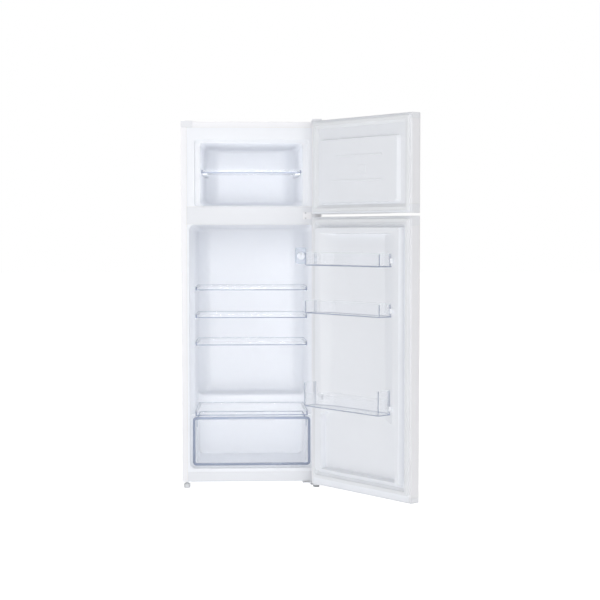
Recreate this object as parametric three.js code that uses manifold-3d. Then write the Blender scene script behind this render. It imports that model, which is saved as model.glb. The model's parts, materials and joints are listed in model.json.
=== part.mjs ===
// A free-standing two-door refrigerator with the freezer on top, shown with both doors standing open.
// Units are millimetres and +Z is up. Inside the file X = 0 is the cabinet's centre plane, Y = 0 is the
// front edge of the cabinet with +Y towards the wall behind it, and Z = 0 is the floor. The finished
// group is moved once, at the end, so that the origin is under the front left levelling foot.

import * as THREE from 'three';
import { mergeVertices } from 'three/addons/utils/BufferGeometryUtils.js';
import Module from 'manifold-3d';

const wasm = await Module();
wasm.setup();

// ---------------------------------------------------------------- driving dimensions

const GAP = 0.3; // between faces that touch
const CABINET = { width: 545, depth: 499, bottom: 27, top: 1430, skin: 0.6, strip: 21.7, corner: 5 };
const HALF = CABINET.width / 2;
const INSIDE = HALF - CABINET.strip - GAP; // half the width between the folded front strips
const WALL = 2; // liner thickness
const FRIDGE = { bottom: 81, top: 1032, back: 440, radius: 22, backHalf: 219, corner: 40 };
const FREEZER = { bottom: 1104, top: 1350, back: 400, radius: 18, backHalf: 182, corner: 40 };
const STEP = { half: 220, bottom: 1098, top: 1361, depth: 10, radius: 12, slope: 9 }; // recess around the freezer
const HUMP = { front: 330, top: 334, chamfer: 12 }; // the floor rises over the compressor
const BAY = { front: 375, top: 285 }; // compressor bay behind and below the hump
const SHELF_TOPS = [788, 678, 569];
const SHELF = { front: 107, back: 342, frontHalf: 222, backHalf: 216.5, bar: 11, drop: 15 };
const COVER = { front: 27, back: 326, top: 301, drop: 17, noseHalf: 230, frontHalf: 221, backHalf: 216 };
const DRAWER = { front: 27, back: 318, bottom: 87, top: 279, faceHalf: 231, frontHalf: 217, backHalf: 212 };
const ICE_SHELF = { front: 14, back: 354, top: 1246, frontHalf: 195, backHalf: 180 };
const DOOR = { thickness: 45, seal: 12, pinInset: 14, pinDepth: 22, skin: 0.6, corner: 9, open: 128 };
const FRIDGE_DOOR = { bottom: 25, top: 1062, lowerCap: 20, upperCap: 36 };
const FREEZER_DOOR = { bottom: 1072, top: 1430, lowerCap: 34, upperCap: 20 };
const GASKET = { hingeInset: 18, inset: 9, width: 24, height: 11.4, fridgeBottomInset: 28 };
const RIM = { left: 43.5, right: 508, bottom: 84, top: 1024, height: 25, bevel: 5 };
const PLATEAU = { left: 52, right: 489, bottom: 1111, top: 1356, height: 11, bevel: 12, endBevel: 5 };
const GRIP = { from: 385, to: 520, front: -48, back: -20, depth: 22, lip: 12 };
const RACKS = [
  { name: 'upper_balcony', bottom: 877, rim: 50, end: 50, from: 61, to: 469 },
  { name: 'middle_balcony', bottom: 696, rim: 50, end: 50, from: 61, to: 469 },
  { name: 'bottle_balcony', bottom: 341, rim: 52, end: 93, from: 57, to: 465 },
];
const RACK = { reach: 87, wall: 2.2 };
const FOOT = { x: 254, y: 30, radius: 13.5, height: 21 };
const CAP = { right: -229, bottom: CABINET.top - CABINET.strip + 0.3, top: 1433, depth: 10, tongue: 34 };
const PIN = { x: HALF - DOOR.pinInset, y: -(DOOR.seal + DOOR.pinDepth), radius: 4 };

// ---------------------------------------------------------------- materials

function paint(hex, roughness, metalness = 0, opacity = 1) {
  return new THREE.MeshStandardMaterial({
    color: new THREE.Color(hex),
    roughness,
    metalness,
    opacity,
    transparent: opacity < 1,
  });
}

const finish = {
  steel: () => paint('#f1f2f5', 0.35, 0.1),
  galvanised: () => paint('#b9bdc0', 0.45, 0.8),
  liner: () => paint('#eef1f6', 0.4),
  cap: () => paint('#e9ebee', 0.45),
  gasket: () => paint('#eceef0', 0.7),
  foam: () => paint('#e8d9a8', 0.95),
  glass: () => paint('#dfe9ee', 0.05, 0, 0.35),
  clear: () => paint('#d9e4f2', 0.1, 0, 0.4),
  trim: () => paint('#f4f6f8', 0.3),
  zinc: () => paint('#c9ccd0', 0.35, 0.9),
  enamel: () => paint('#1b1c1e', 0.4, 0.4),
  copper: () => paint('#b5673a', 0.35, 0.95),
  aluminium: () => paint('#c4c8cc', 0.4, 0.9),
  dark: () => paint('#3a3c40', 0.6),
};

// ---------------------------------------------------------------- geometry helpers

// a closed three.js geometry as a solid that can be joined and cut
function solid(geometry) {
  const bare = geometry.clone();
  bare.deleteAttribute('normal');
  bare.deleteAttribute('uv');
  const merged = mergeVertices(bare, 1e-4);
  return new wasm.Manifold(new wasm.Mesh({
    numProp: 3,
    vertProperties: new Float32Array(merged.attributes.position.array),
    triVerts: new Uint32Array(merged.index.array),
  }));
}

function geometryOf(body) {
  const mesh = body.getMesh();
  const geometry = new THREE.BufferGeometry();
  geometry.setAttribute('position', new THREE.BufferAttribute(new Float32Array(mesh.vertProperties), 3));
  geometry.setIndex(new THREE.BufferAttribute(new Uint32Array(mesh.triVerts), 1));
  geometry.computeVertexNormals();
  return geometry;
}

// a block between two corners
function block(x0, x1, y0, y1, z0, z1) {
  const geometry = new THREE.BoxGeometry(x1 - x0, y1 - y0, z1 - z0);
  geometry.translate((x0 + x1) / 2, (y0 + y1) / 2, (z0 + z1) / 2);
  return solid(geometry);
}

function roundedRectangle(x0, x1, y0, y1, radius) {
  const shape = new THREE.Shape();
  shape.moveTo(x0 + radius, y0);
  shape.lineTo(x1 - radius, y0);
  shape.absarc(x1 - radius, y0 + radius, radius, -Math.PI / 2, 0, false);
  shape.lineTo(x1, y1 - radius);
  shape.absarc(x1 - radius, y1 - radius, radius, 0, Math.PI / 2, false);
  shape.lineTo(x0 + radius, y1);
  shape.absarc(x0 + radius, y1 - radius, radius, Math.PI / 2, Math.PI, false);
  shape.lineTo(x0, y0 + radius);
  shape.absarc(x0 + radius, y0 + radius, radius, Math.PI, 1.5 * Math.PI, false);
  return shape;
}

function polygon(points) {
  return new THREE.Shape(points.map(([x, y]) => new THREE.Vector2(x, y)));
}

// an outline in X and Z carried from y0 back to y1; change(point, share) may move each vertex
function alongY(shape, y0, y1, { steps = 1, segments = 4, change = null } = {}) {
  const depth = y1 - y0;
  const options = { depth, steps, bevelEnabled: false, curveSegments: segments };
  const geometry = new THREE.ExtrudeGeometry(shape, options);
  geometry.rotateX(Math.PI / 2);
  geometry.translate(0, y1, 0);
  if (change) {
    const position = geometry.attributes.position;
    const point = new THREE.Vector3();
    for (let i = 0; i < position.count; i += 1) {
      point.fromBufferAttribute(position, i);
      change(point, (point.y - y0) / depth);
      position.setXYZ(i, point.x, point.y, point.z);
    }
  }
  return solid(geometry);
}

// an outline in Y and Z carried across from x0 to x1
function alongX(points, x0, x1) {
  const geometry = new THREE.ExtrudeGeometry(polygon(points), { depth: x1 - x0, bevelEnabled: false });
  geometry.applyMatrix4(new THREE.Matrix4().makeBasis(
    new THREE.Vector3(0, 1, 0),
    new THREE.Vector3(0, 0, 1),
    new THREE.Vector3(1, 0, 0),
  ));
  geometry.translate(x0, 0, 0);
  return solid(geometry);
}

// an outline in X and Y carried up from z0 to z1
function alongZ(shape, z0, z1, segments = 4) {
  const geometry = new THREE.ExtrudeGeometry(shape, {
    depth: z1 - z0,
    bevelEnabled: false,
    curveSegments: segments,
  });
  geometry.translate(0, 0, z0);
  return solid(geometry);
}

// an upright cylinder, or a cone when the top radius differs
function post(x, y, z0, z1, radius, topRadius = radius, sides = 20) {
  const geometry = new THREE.CylinderGeometry(topRadius, radius, z1 - z0, sides);
  geometry.rotateX(Math.PI / 2);
  geometry.translate(x, y, (z0 + z1) / 2);
  return solid(geometry);
}

// a round tube or wire along a smooth line through the points
function wire(points, radius, steps, sides = 8, tension = 0.5) {
  const corners = points.map((p) => new THREE.Vector3(...p));
  const line = new THREE.CatmullRomCurve3(corners, false, 'catmullrom', tension);
  const section = new THREE.Shape();
  section.absarc(0, 0, radius, 0, 2 * Math.PI, false);
  return solid(new THREE.ExtrudeGeometry(section, {
    steps,
    curveSegments: sides / 2,
    bevelEnabled: false,
    extrudePath: line,
  }));
}

function mesh(name, body, material) {
  const item = new THREE.Mesh(geometryOf(body), material);
  item.name = name;
  return item;
}

// ---------------------------------------------------------------- cabinet shape rules

// half the width, the floor and the ceiling of the fridge space at a depth y, opened out at the front
function fridgeAt(y) {
  const inward = 1 - y / FRIDGE.back;
  return {
    half: FRIDGE.backHalf + 6 * inward + 16 * Math.exp(-((y / 55) ** 2)),
    low: FRIDGE.bottom + 5 - 5 * Math.exp(-((y / 40) ** 2)),
    high: FRIDGE.top - 10 + 4 * inward + 6 * Math.exp(-((y / 40) ** 2)),
  };
}

function freezerAt(y) {
  const inward = 1 - y / FREEZER.back;
  return {
    half: FREEZER.backHalf + 17 * inward,
    low: FREEZER.bottom + 14 - 14 * inward,
    high: FREEZER.top - 6 + 6 * inward,
  };
}

// the space inside a compartment, or with grow the outside of its liner
function hollow(spaceAt, radius, y0, y1, grow, steps) {
  const front = spaceAt(0);
  const tall = (front.high - front.low) / 2;
  const outline = roundedRectangle(-front.half, front.half, -tall, tall, radius);
  return alongY(outline, y0, y1, {
    steps,
    change: (point) => {
      const here = spaceAt(Math.min(Math.max(point.y, 0), y1));
      const hereMiddle = (here.low + here.high) / 2;
      const hereTall = (here.high - here.low) / 2;
      point.x *= (here.half + grow) / front.half;
      point.z = hereMiddle + point.z * ((hereTall + grow) / tall);
    },
  });
}

// the back corners of a compartment are cut off at 45 degrees
function withoutCorners(body, compartment, grow) {
  const reach = compartment.backHalf + compartment.back - compartment.corner + grow * Math.SQRT2;
  const y = compartment.back + 60;
  const x = 400;
  return [-1, 1].reduce((rest, side) => {
    const wedge = [[side * (reach - y), y], [side * x, y], [side * x, reach - x]];
    return rest.subtract(alongZ(polygon(side > 0 ? wedge : wedge.reverse()), 0, 1500));
  }, body);
}

function fridgeSpace(grow, y0, y1) {
  return withoutCorners(hollow(fridgeAt, FRIDGE.radius, y0, y1, grow, 10), FRIDGE, grow);
}

function freezerSpace(grow, y0, y1) {
  return withoutCorners(hollow(freezerAt, FREEZER.radius, y0, y1, grow, 3), FREEZER, grow);
}

function humpBlock(shrink) {
  const front = HUMP.front + shrink;
  const top = HUMP.top - shrink;
  return alongX([
    [front, 40],
    [FRIDGE.back + 30, 40],
    [FRIDGE.back + 30, top],
    [front + HUMP.chamfer, top],
    [front, top - HUMP.chamfer],
  ], -300, 300);
}

// ---------------------------------------------------------------- cabinet pieces

function cabinetWrap() {
  const outline = roundedRectangle(-HALF, HALF, CABINET.bottom - 20, CABINET.top, CABINET.corner);
  const skin = CABINET.skin;
  const inner = roundedRectangle(-HALF + skin, HALF - skin, -50, CABINET.top - skin, CABINET.corner - skin);
  const edge = HALF - CABINET.strip;
  return alongY(outline, 0, CABINET.depth - 1)
    .subtract(alongY(inner, skin, CABINET.depth + 1))
    .subtract(block(-edge, edge, -1, 2, -50, CABINET.top - CABINET.strip))
    .subtract(block(-300, 300, -5, 600, -50, CABINET.bottom))
    .subtract(block(-300, CAP.right + GAP, -5, CAP.depth + GAP, CAP.bottom - GAP, 1500));
}

function backPanel() {
  const half = HALF - CABINET.skin - GAP;
  const panel = block(-half, half, CABINET.depth - 0.7, CABINET.depth, BAY.top + 2, CABINET.top - 1.2);
  return panel;
}

function basePan() {
  const half = HALF - CABINET.skin - GAP;
  const z = CABINET.bottom + 1;
  const back = CABINET.depth - 1.3;
  return alongX([
    [4, z],
    [BAY.front, z],
    [BAY.front, BAY.top],
    [back, BAY.top],
    [back, BAY.top + 1],
    [BAY.front - 1, BAY.top + 1],
    [BAY.front - 1, z + 1],
    [4, z + 1],
  ], -half, half);
}

function bottomRail() {
  const top = FRIDGE.bottom - WALL - 12 - GAP;
  const bar = block(-INSIDE, INSIDE, 0.2, 2.2, CABINET.bottom + 0.5, top);
  return bar.add(block(-INSIDE, INSIDE, 2, 3.4, CABINET.bottom + 3, CABINET.bottom + 14));
}

function mullionCover() {
  const low = FRIDGE.top + WALL + GAP;
  const high = FREEZER.bottom - WALL - GAP;
  const face = block(-INSIDE, INSIDE, 0, 1.8, low, high);
  const ribs = [0.25, 0.75].map((share) => {
    const z = low + share * (high - low);
    return block(-INSIDE + 6, INSIDE - 6, 1.6, 12, z - 1, z + 1);
  });
  return face.add(ribs[0]).add(ribs[1]);
}

// ledges moulded on both side walls, one pair under each sliding shelf
function ledge(side, wallHalf, tip, y0, y1, top, thick) {
  const outer = side * (wallHalf + 1);
  const inner = side * tip;
  return block(Math.min(outer, inner), Math.max(outer, inner), y0, y1, top - thick, top);
}

function fridgeLiner() {
  const y1 = FRIDGE.back;
  let shell = fridgeSpace(WALL, 0, y1 + WALL).subtract(humpBlock(WALL));
  shell = shell.add(block(-INSIDE, INSIDE, 0, WALL, FRIDGE.bottom - WALL - 12, FRIDGE.top + WALL));
  let space = fridgeSpace(0, -1, y1).subtract(humpBlock(0));
  [-1, 1].forEach((side) => {
    SHELF_TOPS.forEach((top) => {
      space = space.subtract(ledge(side, 232, 211, SHELF.front + 14, SHELF.back, top - 12 - GAP, 7));
    });
    space = space.subtract(ledge(side, 236, 214, 40, COVER.back - 2, COVER.top - 12 - GAP, 6));
  });
  return shell.subtract(space);
}

function freezerLiner() {
  const y1 = FREEZER.back;
  const low = FREEZER.bottom - WALL;
  const high = CABINET.top - CABINET.strip - GAP;
  const recess = roundedRectangle(-STEP.half, STEP.half, STEP.bottom, STEP.top, STEP.radius);
  const behind = roundedRectangle(
    -STEP.half - WALL, STEP.half + WALL, STEP.bottom - WALL, STEP.top + WALL, STEP.radius + WALL,
  );
  const below = block(-300, 300, -50, 600, 0, low);
  const change = (point, share) => {
    point.z -= point.z > STEP.top - 2 * STEP.radius ? share * STEP.slope : 0;
  };
  let shell = freezerSpace(WALL, 0, y1 + WALL);
  shell = shell.add(block(-INSIDE, INSIDE, 0, WALL, low, high));
  shell = shell.add(alongY(behind, 0, STEP.depth + WALL, { change }).subtract(below));
  let space = freezerSpace(0, -1, y1).add(alongY(recess, -1, STEP.depth, { change }));
  [-1, 1].forEach((side) => {
    space = space.subtract(ledge(side, 200, 172, 30, ICE_SHELF.back, ICE_SHELF.top - 12 - GAP, 7));
  });
  return shell.subtract(space.subtract(block(-300, 300, -50, 600, 0, low + WALL)));
}

function cabinetFoam() {
  const clear = WALL + 0.6;
  const half = HALF - 9.5; // leaves room for the condenser pipes against the side walls
  const top = CABINET.top - 1.5;
  let foam = block(-half, half, 14, CABINET.depth - 2, CABINET.bottom + 3, top);
  foam = foam.subtract(fridgeSpace(clear, 0, FRIDGE.back + clear).subtract(humpBlock(clear)));
  foam = foam.subtract(freezerSpace(clear, 0, FREEZER.back + clear));
  foam = foam.subtract(block(-230, 230, 0, STEP.depth + clear + 5, STEP.bottom - 6, STEP.top + 6));
  foam = foam.subtract(block(-300, 300, BAY.front - 2, 600, 0, BAY.top + 2));
  foam = foam.subtract(block(-174, 174, 58, 410, FREEZER.bottom - 10, FREEZER.top + 10));
  return foam.subtract(block(-170, 170, 400, FRIDGE.back + 9, 418, 986));
}

// roll-bonded plate folded around the back, floor and ceiling of the freezer
function freezerEvaporator() {
  const low = FREEZER.bottom - 8;
  const high = FREEZER.top + 8;
  const back = FREEZER.back + 7;
  const t = 1.4;
  return alongX([
    [60, low],
    [back, low],
    [back, high],
    [60, high],
    [60, high - t],
    [back - t, high - t],
    [back - t, low + t],
    [60, low + t],
  ], -170, 170);
}

function fridgeEvaporator() {
  const y = FRIDGE.back + WALL + 2;
  return block(-165, 165, y, y + 1.4, 422, 982);
}

// hidden condenser pipe zigzagging against the inside of one side wall
function condenser(side) {
  const x = side * (HALF - 5.2);
  const points = [];
  const rows = 6;
  for (let row = 0; row < rows; row += 1) {
    const z = 380 + row * 180;
    const ends = row % 2 ? [440, 60] : [60, 440];
    points.push([x, ends[0], z], [x, (ends[0] + ends[1]) / 2, z], [x, ends[1], z]);
  }
  return wire(points, 2.4, 52, 6, 0.3);
}

// ---------------------------------------------------------------- compressor bay

function compressor() {
  const profile = [];
  const radius = 54;
  for (let i = 0; i <= 10; i += 1) {
    const angle = -Math.PI / 2 + (i / 10) * Math.PI;
    const height = 46 * Math.sin(angle) + 24 * Math.sign(i - 5);
    profile.push(new THREE.Vector2(radius * Math.cos(angle) ** 0.6, height));
  }
  profile[0].x = 0;
  profile[10].x = 0;
  const shell = new THREE.LatheGeometry(profile, 28);
  shell.rotateX(Math.PI / 2);
  shell.scale(1.25, 1, 1);
  shell.translate(70, 437, 112);
  const cradle = block(-20, 160, 392, 482, 37, 40);
  const body = solid(shell).add(cradle).add(post(70, 437, 39, 60, 30));
  return [[-8, 402], [148, 402], [-8, 472], [148, 472]].reduce(
    (whole, [x, y]) => whole.add(post(x, y, 31.7, 43, 9, 9, 12)),
    body,
  );
}

function compressorTray() {
  const half = HALF - CABINET.skin - GAP;
  return alongX([
    [384, 30],
    [494, 30],
    [494, 44],
    [492.6, 44],
    [492.6, 31.4],
    [385.4, 31.4],
    [385.4, 44],
    [384, 44],
  ], -half, half);
}

function relayCover() {
  return block(139.5, 166, 412, 462, 88, 140);
}

function dripTray() {
  const outer = alongY(roundedRectangle(0, 150, 188, 214, 6), 390, 484);
  return outer.subtract(block(2, 148, 392, 482, 190, 230));
}

function drainSpout() {
  return post(45, 430, 222, BAY.top - GAP, 7, 9, 16).subtract(post(45, 430, 200, BAY.top + 5, 4.5, 4.5, 12));
}

function suctionPipe() {
  return wire([[1, 440, 120], [-40, 440, 130], [-90, 450, 180], [-110, 440, 240], [-110, 430, 284]], 4, 22);
}

function dischargePipe() {
  return wire([[1, 425, 86], [-60, 410, 80], [-150, 400, 90], [-200, 410, 160], [-205, 430, 284]], 3, 24);
}

function drierBottle() {
  return post(-150, 462, 120, 230, 10, 10, 16).add(post(-150, 462, 228, 252, 3, 3, 10))
    .add(post(-150, 462, 100, 122, 3, 3, 10));
}

// ---------------------------------------------------------------- feet and hinges

function frontFoot(side) {
  const disc = post(side * FOOT.x, FOOT.y, 0, 7, FOOT.radius, FOOT.radius, 24);
  const collar = post(side * FOOT.x, FOOT.y, 6.5, FOOT.height, 9, 9, 6);
  return disc.add(collar).add(post(side * FOOT.x, FOOT.y, FOOT.height - 1, CABINET.bottom + 0.7, 4, 4, 12));
}

function rearFoot(side) {
  return post(side * 235, 440, 0, 29.7, 15, 18, 24);
}

const HINGE_PLATE = 2.5;

// the upper door turns on a pin that hangs from this plate on the cabinet's top
function topHinge() {
  const z = CABINET.top + GAP;
  const plate = block(PIN.x - 22, PIN.x + 8, PIN.y - 8, 52, z + 0.5, z + 0.5 + HINGE_PLATE);
  const pin = post(PIN.x, PIN.y, FREEZER_DOOR.top - 11, z + 1.5, PIN.radius, PIN.radius, 16);
  return plate.add(pin);
}

function topHingeCover() {
  const z = CABINET.top + GAP;
  const outer = block(PIN.x - 26, PIN.x + 12, PIN.y - 12, 56, z + 0.4, z + 8);
  return outer.subtract(block(PIN.x - 24, PIN.x + 10, PIN.y - 10, 54, z - 5, z + 6));
}

// plate across the cabinet's front between the doors, with one pin up and one pin down
function middleHinge() {
  const z = 1067;
  const upright = block(200, INSIDE - 1, -2.6, -0.3, z - 13.4, z + 13.4);
  const arm = block(PIN.x - 26, PIN.x + 9, PIN.y - 9, -0.4, z - 1.5, z + 1.5);
  const joined = upright.add(arm).add(block(INSIDE - 24, INSIDE - 1, -6, -0.3, z - 1.5, z + 1.5));
  return joined.add(post(PIN.x, PIN.y, FRIDGE_DOOR.top - 12, FREEZER_DOOR.bottom + 12, PIN.radius));
}

// bracket under the cabinet that carries the lower door and lets the right foot's screw through
function bottomHinge() {
  const z = CABINET.bottom - 4.5;
  const x0 = PIN.x - 60;
  const x1 = PIN.x + 9;
  const base = block(x0, x1, -6, 70, CABINET.bottom - 3.3, CABINET.bottom - GAP);
  const web = block(x0, x1, -6, -3, z - 3, CABINET.bottom - GAP);
  const plate = block(PIN.x - 30, x1, PIN.y - 9, -3, z - 3, z).add(web).add(base);
  const pin = post(PIN.x, PIN.y, z - 1, FRIDGE_DOOR.bottom + 14, PIN.radius, PIN.radius, 16);
  const washer = post(PIN.x, PIN.y, z - 1, FRIDGE_DOOR.bottom - 0.4, 8, 8, 16);
  return plate.add(pin).add(washer).subtract(post(FOOT.x, FOOT.y, 0, 60, 10, 10, 16));
}

// fills the corner where the hinge would go if the doors were hung the other way round
function blankingCap() {
  const outline = roundedRectangle(-HALF, CAP.right, CAP.bottom, CAP.top, 3);
  const tongue = block(-HALF + 3, CAP.right, CAP.depth - 1, CAP.tongue, CABINET.top + GAP, CAP.top);
  return alongY(outline, 0, CAP.depth).add(tongue);
}

// ---------------------------------------------------------------- light and thermostat

const CONTROL = { inner: 182, outer: 219.5, front: 190, split: 236, back: 300, low: 876, high: 940, wall: 2 };

function controlShell(y0, y1, front) {
  const c = CONTROL;
  const outer = alongY(roundedRectangle(c.inner, c.outer, c.low, c.high, 6), y0, y1);
  const from = front ? y0 + c.wall : y0 - 5;
  const to = front ? y1 + 5 : y1 - c.wall;
  return outer.subtract(block(c.inner + c.wall, c.outer + 5, from, to, c.low + c.wall, c.high - c.wall));
}

function thermostatHousing() {
  const shell = controlShell(CONTROL.front, CONTROL.split - GAP, true);
  const spindleHole = new THREE.CylinderGeometry(3.4, 3.4, 20, 16);
  spindleHole.translate(201, CONTROL.front, 908);
  return shell.subtract(solid(spindleHole));
}

function thermostatKnob() {
  const disc = new THREE.CylinderGeometry(15, 16, 8, 24);
  disc.translate(201, CONTROL.front - 4.5, 908);
  const stem = new THREE.CylinderGeometry(3, 3, 14, 16);
  stem.translate(201, CONTROL.front + 2, 908);
  const pointer = block(199.4, 202.6, CONTROL.front - 11, CONTROL.front - 7, 908, 922);
  return solid(disc).add(solid(stem)).add(pointer);
}

function lampLens() {
  return controlShell(CONTROL.split, CONTROL.back, false);
}

function lampBulb() {
  const profile = [[0, 0], [6, 0], [6, 16], [10, 24], [11, 32], [8, 40], [0, 43]];
  const glass = new THREE.LatheGeometry(profile.map(([r, h]) => new THREE.Vector2(r, h)), 16);
  glass.translate(201, CONTROL.split + 6, 908);
  return solid(glass);
}

// ---------------------------------------------------------------- shelves and drawer

function trapezium(frontHalf, backHalf, y0, y1) {
  return polygon([[-frontHalf, y0], [frontHalf, y0], [backHalf, y1], [-backHalf, y1]]);
}

// a frame around a sliding shelf: deep bar in front, slim bars at the sides and back
function shelfFrame(s, top) {
  const { bar, noseHalf = s.frontHalf - 1 } = s;
  const outer = alongZ(trapezium(s.frontHalf, s.backHalf, s.front, s.back), top - 12, top);
  const cut = alongZ(
    trapezium(s.frontHalf - bar - 2, s.backHalf - bar + 1, s.front + bar, s.back - 7), top - 40, top + 5,
  );
  const seat = alongZ(
    trapezium(s.frontHalf - 5, s.backHalf - 4, s.front + 5, s.back - 3), top - 5, top + 5,
  );
  const nose = alongX([
    [s.front, top],
    [s.front, top - s.drop + 3],
    [s.front + 4, top - s.drop],
    [s.front + 8, top - s.drop],
    [s.front + 8, top],
  ], -noseHalf, noseHalf);
  return outer.add(nose).subtract(cut).subtract(seat);
}

function shelfGlass(s, top) {
  const plate = trapezium(s.frontHalf - 5.6, s.backHalf - 4.6, s.front + 5.6, s.back - 3.6);
  return alongZ(plate, top - 5 + GAP, top - 0.7);
}

function crisperDrawer() {
  const d = DRAWER;
  const wall = 2.2;
  const bin = (grow) => alongY(
    roundedRectangle(-d.frontHalf + grow, d.frontHalf - grow, d.bottom + grow, d.top + 40, 24 - grow),
    d.front + 2 + grow,
    d.back - grow,
    { change: (point, share) => { point.x *= 1 - share * (1 - d.backHalf / d.frontHalf); } },
  );
  const face = alongY(roundedRectangle(-d.faceHalf, d.faceHalf, d.bottom, d.top, 14), d.front, d.front + 3.4);
  const handle = alongX([
    [d.front + 3, d.top - 3],
    [d.front - 13, d.top - 3],
    [d.front - 16, d.top - 14],
    [d.front - 14, d.top - 14],
    [d.front - 11, d.top - 5.4],
    [d.front + 3, d.top - 5.4],
  ], -90, 90);
  const rear = d.top - 16;
  return bin(0)
    .subtract(bin(wall))
    .subtract(block(-300, 300, 0, 400, d.top, 400))
    .subtract(block(-300, 300, d.front + 60, 400, rear, 400))
    .add(face)
    .add(handle);
}

// ---------------------------------------------------------------- doors, drawn closed

// X of a point u millimetres in from the hinge side edge of a closed door, and Y of a point p proud of
// the door's inner face
const across = (u) => HALF - u;
const proud = (p) => -DOOR.seal + p;

function doorOutline(inset) {
  const half = HALF - inset;
  const y0 = -DOOR.seal - DOOR.thickness + inset;
  const y1 = -DOOR.seal - inset;
  const r = DOOR.corner - inset;
  const shape = new THREE.Shape();
  shape.moveTo(-half + r, y0);
  shape.lineTo(half - r, y0);
  shape.absarc(half - r, y0 + r, r, -Math.PI / 2, 0, false);
  shape.lineTo(half, y1);
  shape.lineTo(-half, y1);
  shape.lineTo(-half, y0 + r);
  shape.absarc(-half + r, y0 + r, r, Math.PI, 1.5 * Math.PI, false);
  return shape;
}

const LIP = 10; // width of the skin's fold onto the inner face

function doorSkin(door) {
  const z0 = door.bottom + door.lowerCap + GAP;
  const z1 = door.top - door.upperCap - GAP;
  const half = HALF - LIP;
  return alongZ(doorOutline(0), z0, z1)
    .subtract(alongZ(doorOutline(DOOR.skin), z0 - 5, z1 + 5))
    .subtract(block(-half, half, proud(-3), proud(3), z0 - 5, z1 + 5));
}

function linerPlate(door, grow) {
  const half = HALF - LIP - GAP;
  const edge = 3;
  return block(-half - grow, half + grow, proud(-2) - grow, proud(0) + (grow ? 5 : 0),
    door.bottom + edge - grow, door.top - edge + grow);
}

function pinHole(z0, z1) {
  return post(PIN.x, PIN.y, z0, z1, PIN.radius + 0.5, PIN.radius + 0.5, 20);
}

// finger recess along the door's end, open to the gap between the doors and to the front above the lip
function gripPocket(z, up) {
  const x0 = across(GRIP.to);
  const x1 = across(GRIP.from);
  const end = z - up * GRIP.depth;
  const lip = z - up * GRIP.lip;
  const pocket = block(x0, x1, GRIP.front, GRIP.back, Math.min(z + up * 5, end), Math.max(z + up * 5, end));
  return pocket.add(block(x0, x1, -80, GRIP.front + 1, Math.min(z + up * 5, lip), Math.max(z + up * 5, lip)));
}

function doorCap(door, upper) {
  const z0 = upper ? door.top - door.upperCap : door.bottom;
  const z1 = upper ? door.top : door.bottom + door.lowerCap;
  return alongZ(doorOutline(0), z0, z1).subtract(linerPlate(door, GAP));
}

function doorFoam(door) {
  const z0 = door.bottom + door.lowerCap + 0.6;
  const z1 = door.top - door.upperCap - 0.6;
  const half = HALF - DOOR.skin - 0.5;
  const y0 = -DOOR.seal - DOOR.thickness + DOOR.skin + 0.5;
  return block(-half + 9, half - 9, y0, proud(-2) - 0.4, z0, z1);
}

function doorGasket(door, bottomInset) {
  const w = GASKET.width;
  const x0 = -HALF + GASKET.inset;
  const x1 = HALF - GASKET.hingeInset;
  const z0 = door.bottom + bottomInset;
  const z1 = door.top - GASKET.inset;
  const ring = alongY(roundedRectangle(x0, x1, z0, z1, 6), proud(GAP), proud(GASKET.height));
  return ring.subtract(alongY(roundedRectangle(x0 + w, x1 - w, z0 + w, z1 - w, 4), -30, 10));
}

// a raised block on a door's inner face; its sides lean in by bevel towards its top, its ends by endBevel
function raised(u0, u1, z0, z1, p0, p1, bevel, endBevel = bevel, radius = 10) {
  const x0 = across(u1);
  const x1 = across(u0);
  const cx = (x0 + x1) / 2;
  const cz = (z0 + z1) / 2;
  const shape = roundedRectangle(x0 - cx, x1 - cx, z0 - cz, z1 - cz, radius);
  return alongY(shape, proud(p0), proud(p1), {
    change: (point, share) => {
      point.x = cx + point.x * (1 - share * (bevel / ((x1 - x0) / 2)));
      point.z = cz + point.z * (1 - share * (endBevel / ((z1 - z0) / 2)));
    },
  });
}

function freezerDoorLiner() {
  const p = PLATEAU;
  const outer = raised(p.left, p.right, p.bottom, p.top, -1, p.height, p.bevel, p.endBevel, 14);
  const t = 2;
  const inner = raised(
    p.left + t, p.right - t, p.bottom + t, p.top - t, -4, p.height - t, p.bevel + 1, p.endBevel + 1, 12,
  );
  return linerPlate(FREEZER_DOOR, 0).add(outer).subtract(inner);
}

// the recess in the fridge door's liner: gently sloping sides above, steep and wider below
function doorRecess(grow) {
  const p0 = 2 - grow;
  const p1 = 30;
  const upper = raised(140 - grow, 410 + grow, 300, 997 + grow, p0, p1, -74, -4, 8);
  const lowOutline = [[80, 95], [487, 95], [487, 300], [433, 323], [97, 323], [80, 308]];
  const cx = across(283.5);
  const cz = 209;
  const lower = alongY(
    polygon(lowOutline.map(([u, z]) => [across(u) - cx, z - cz])), proud(p0), proud(p1),
    {
      change: (point, share) => {
        point.x = cx + point.x * (0.976 + 0.024 * share + grow / 203);
        point.z = cz + point.z * (0.93 + 0.07 * share + grow / 114);
      },
    },
  );
  return upper.subtract(block(-300, 300, -60, 60, 0, 310)).add(lower);
}

function fridgeDoorLiner() {
  const r = RIM;
  const outer = raised(r.left, r.right, r.bottom, r.top, -1, r.height, r.bevel).subtract(doorRecess(0));
  const t = 2;
  const inner = raised(r.left + t, r.right - t, r.bottom + t, r.top - t, -4, r.height - t, r.bevel + 1)
    .subtract(doorRecess(t));
  return linerPlate(FRIDGE_DOOR, 0).add(outer).subtract(inner);
}

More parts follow.
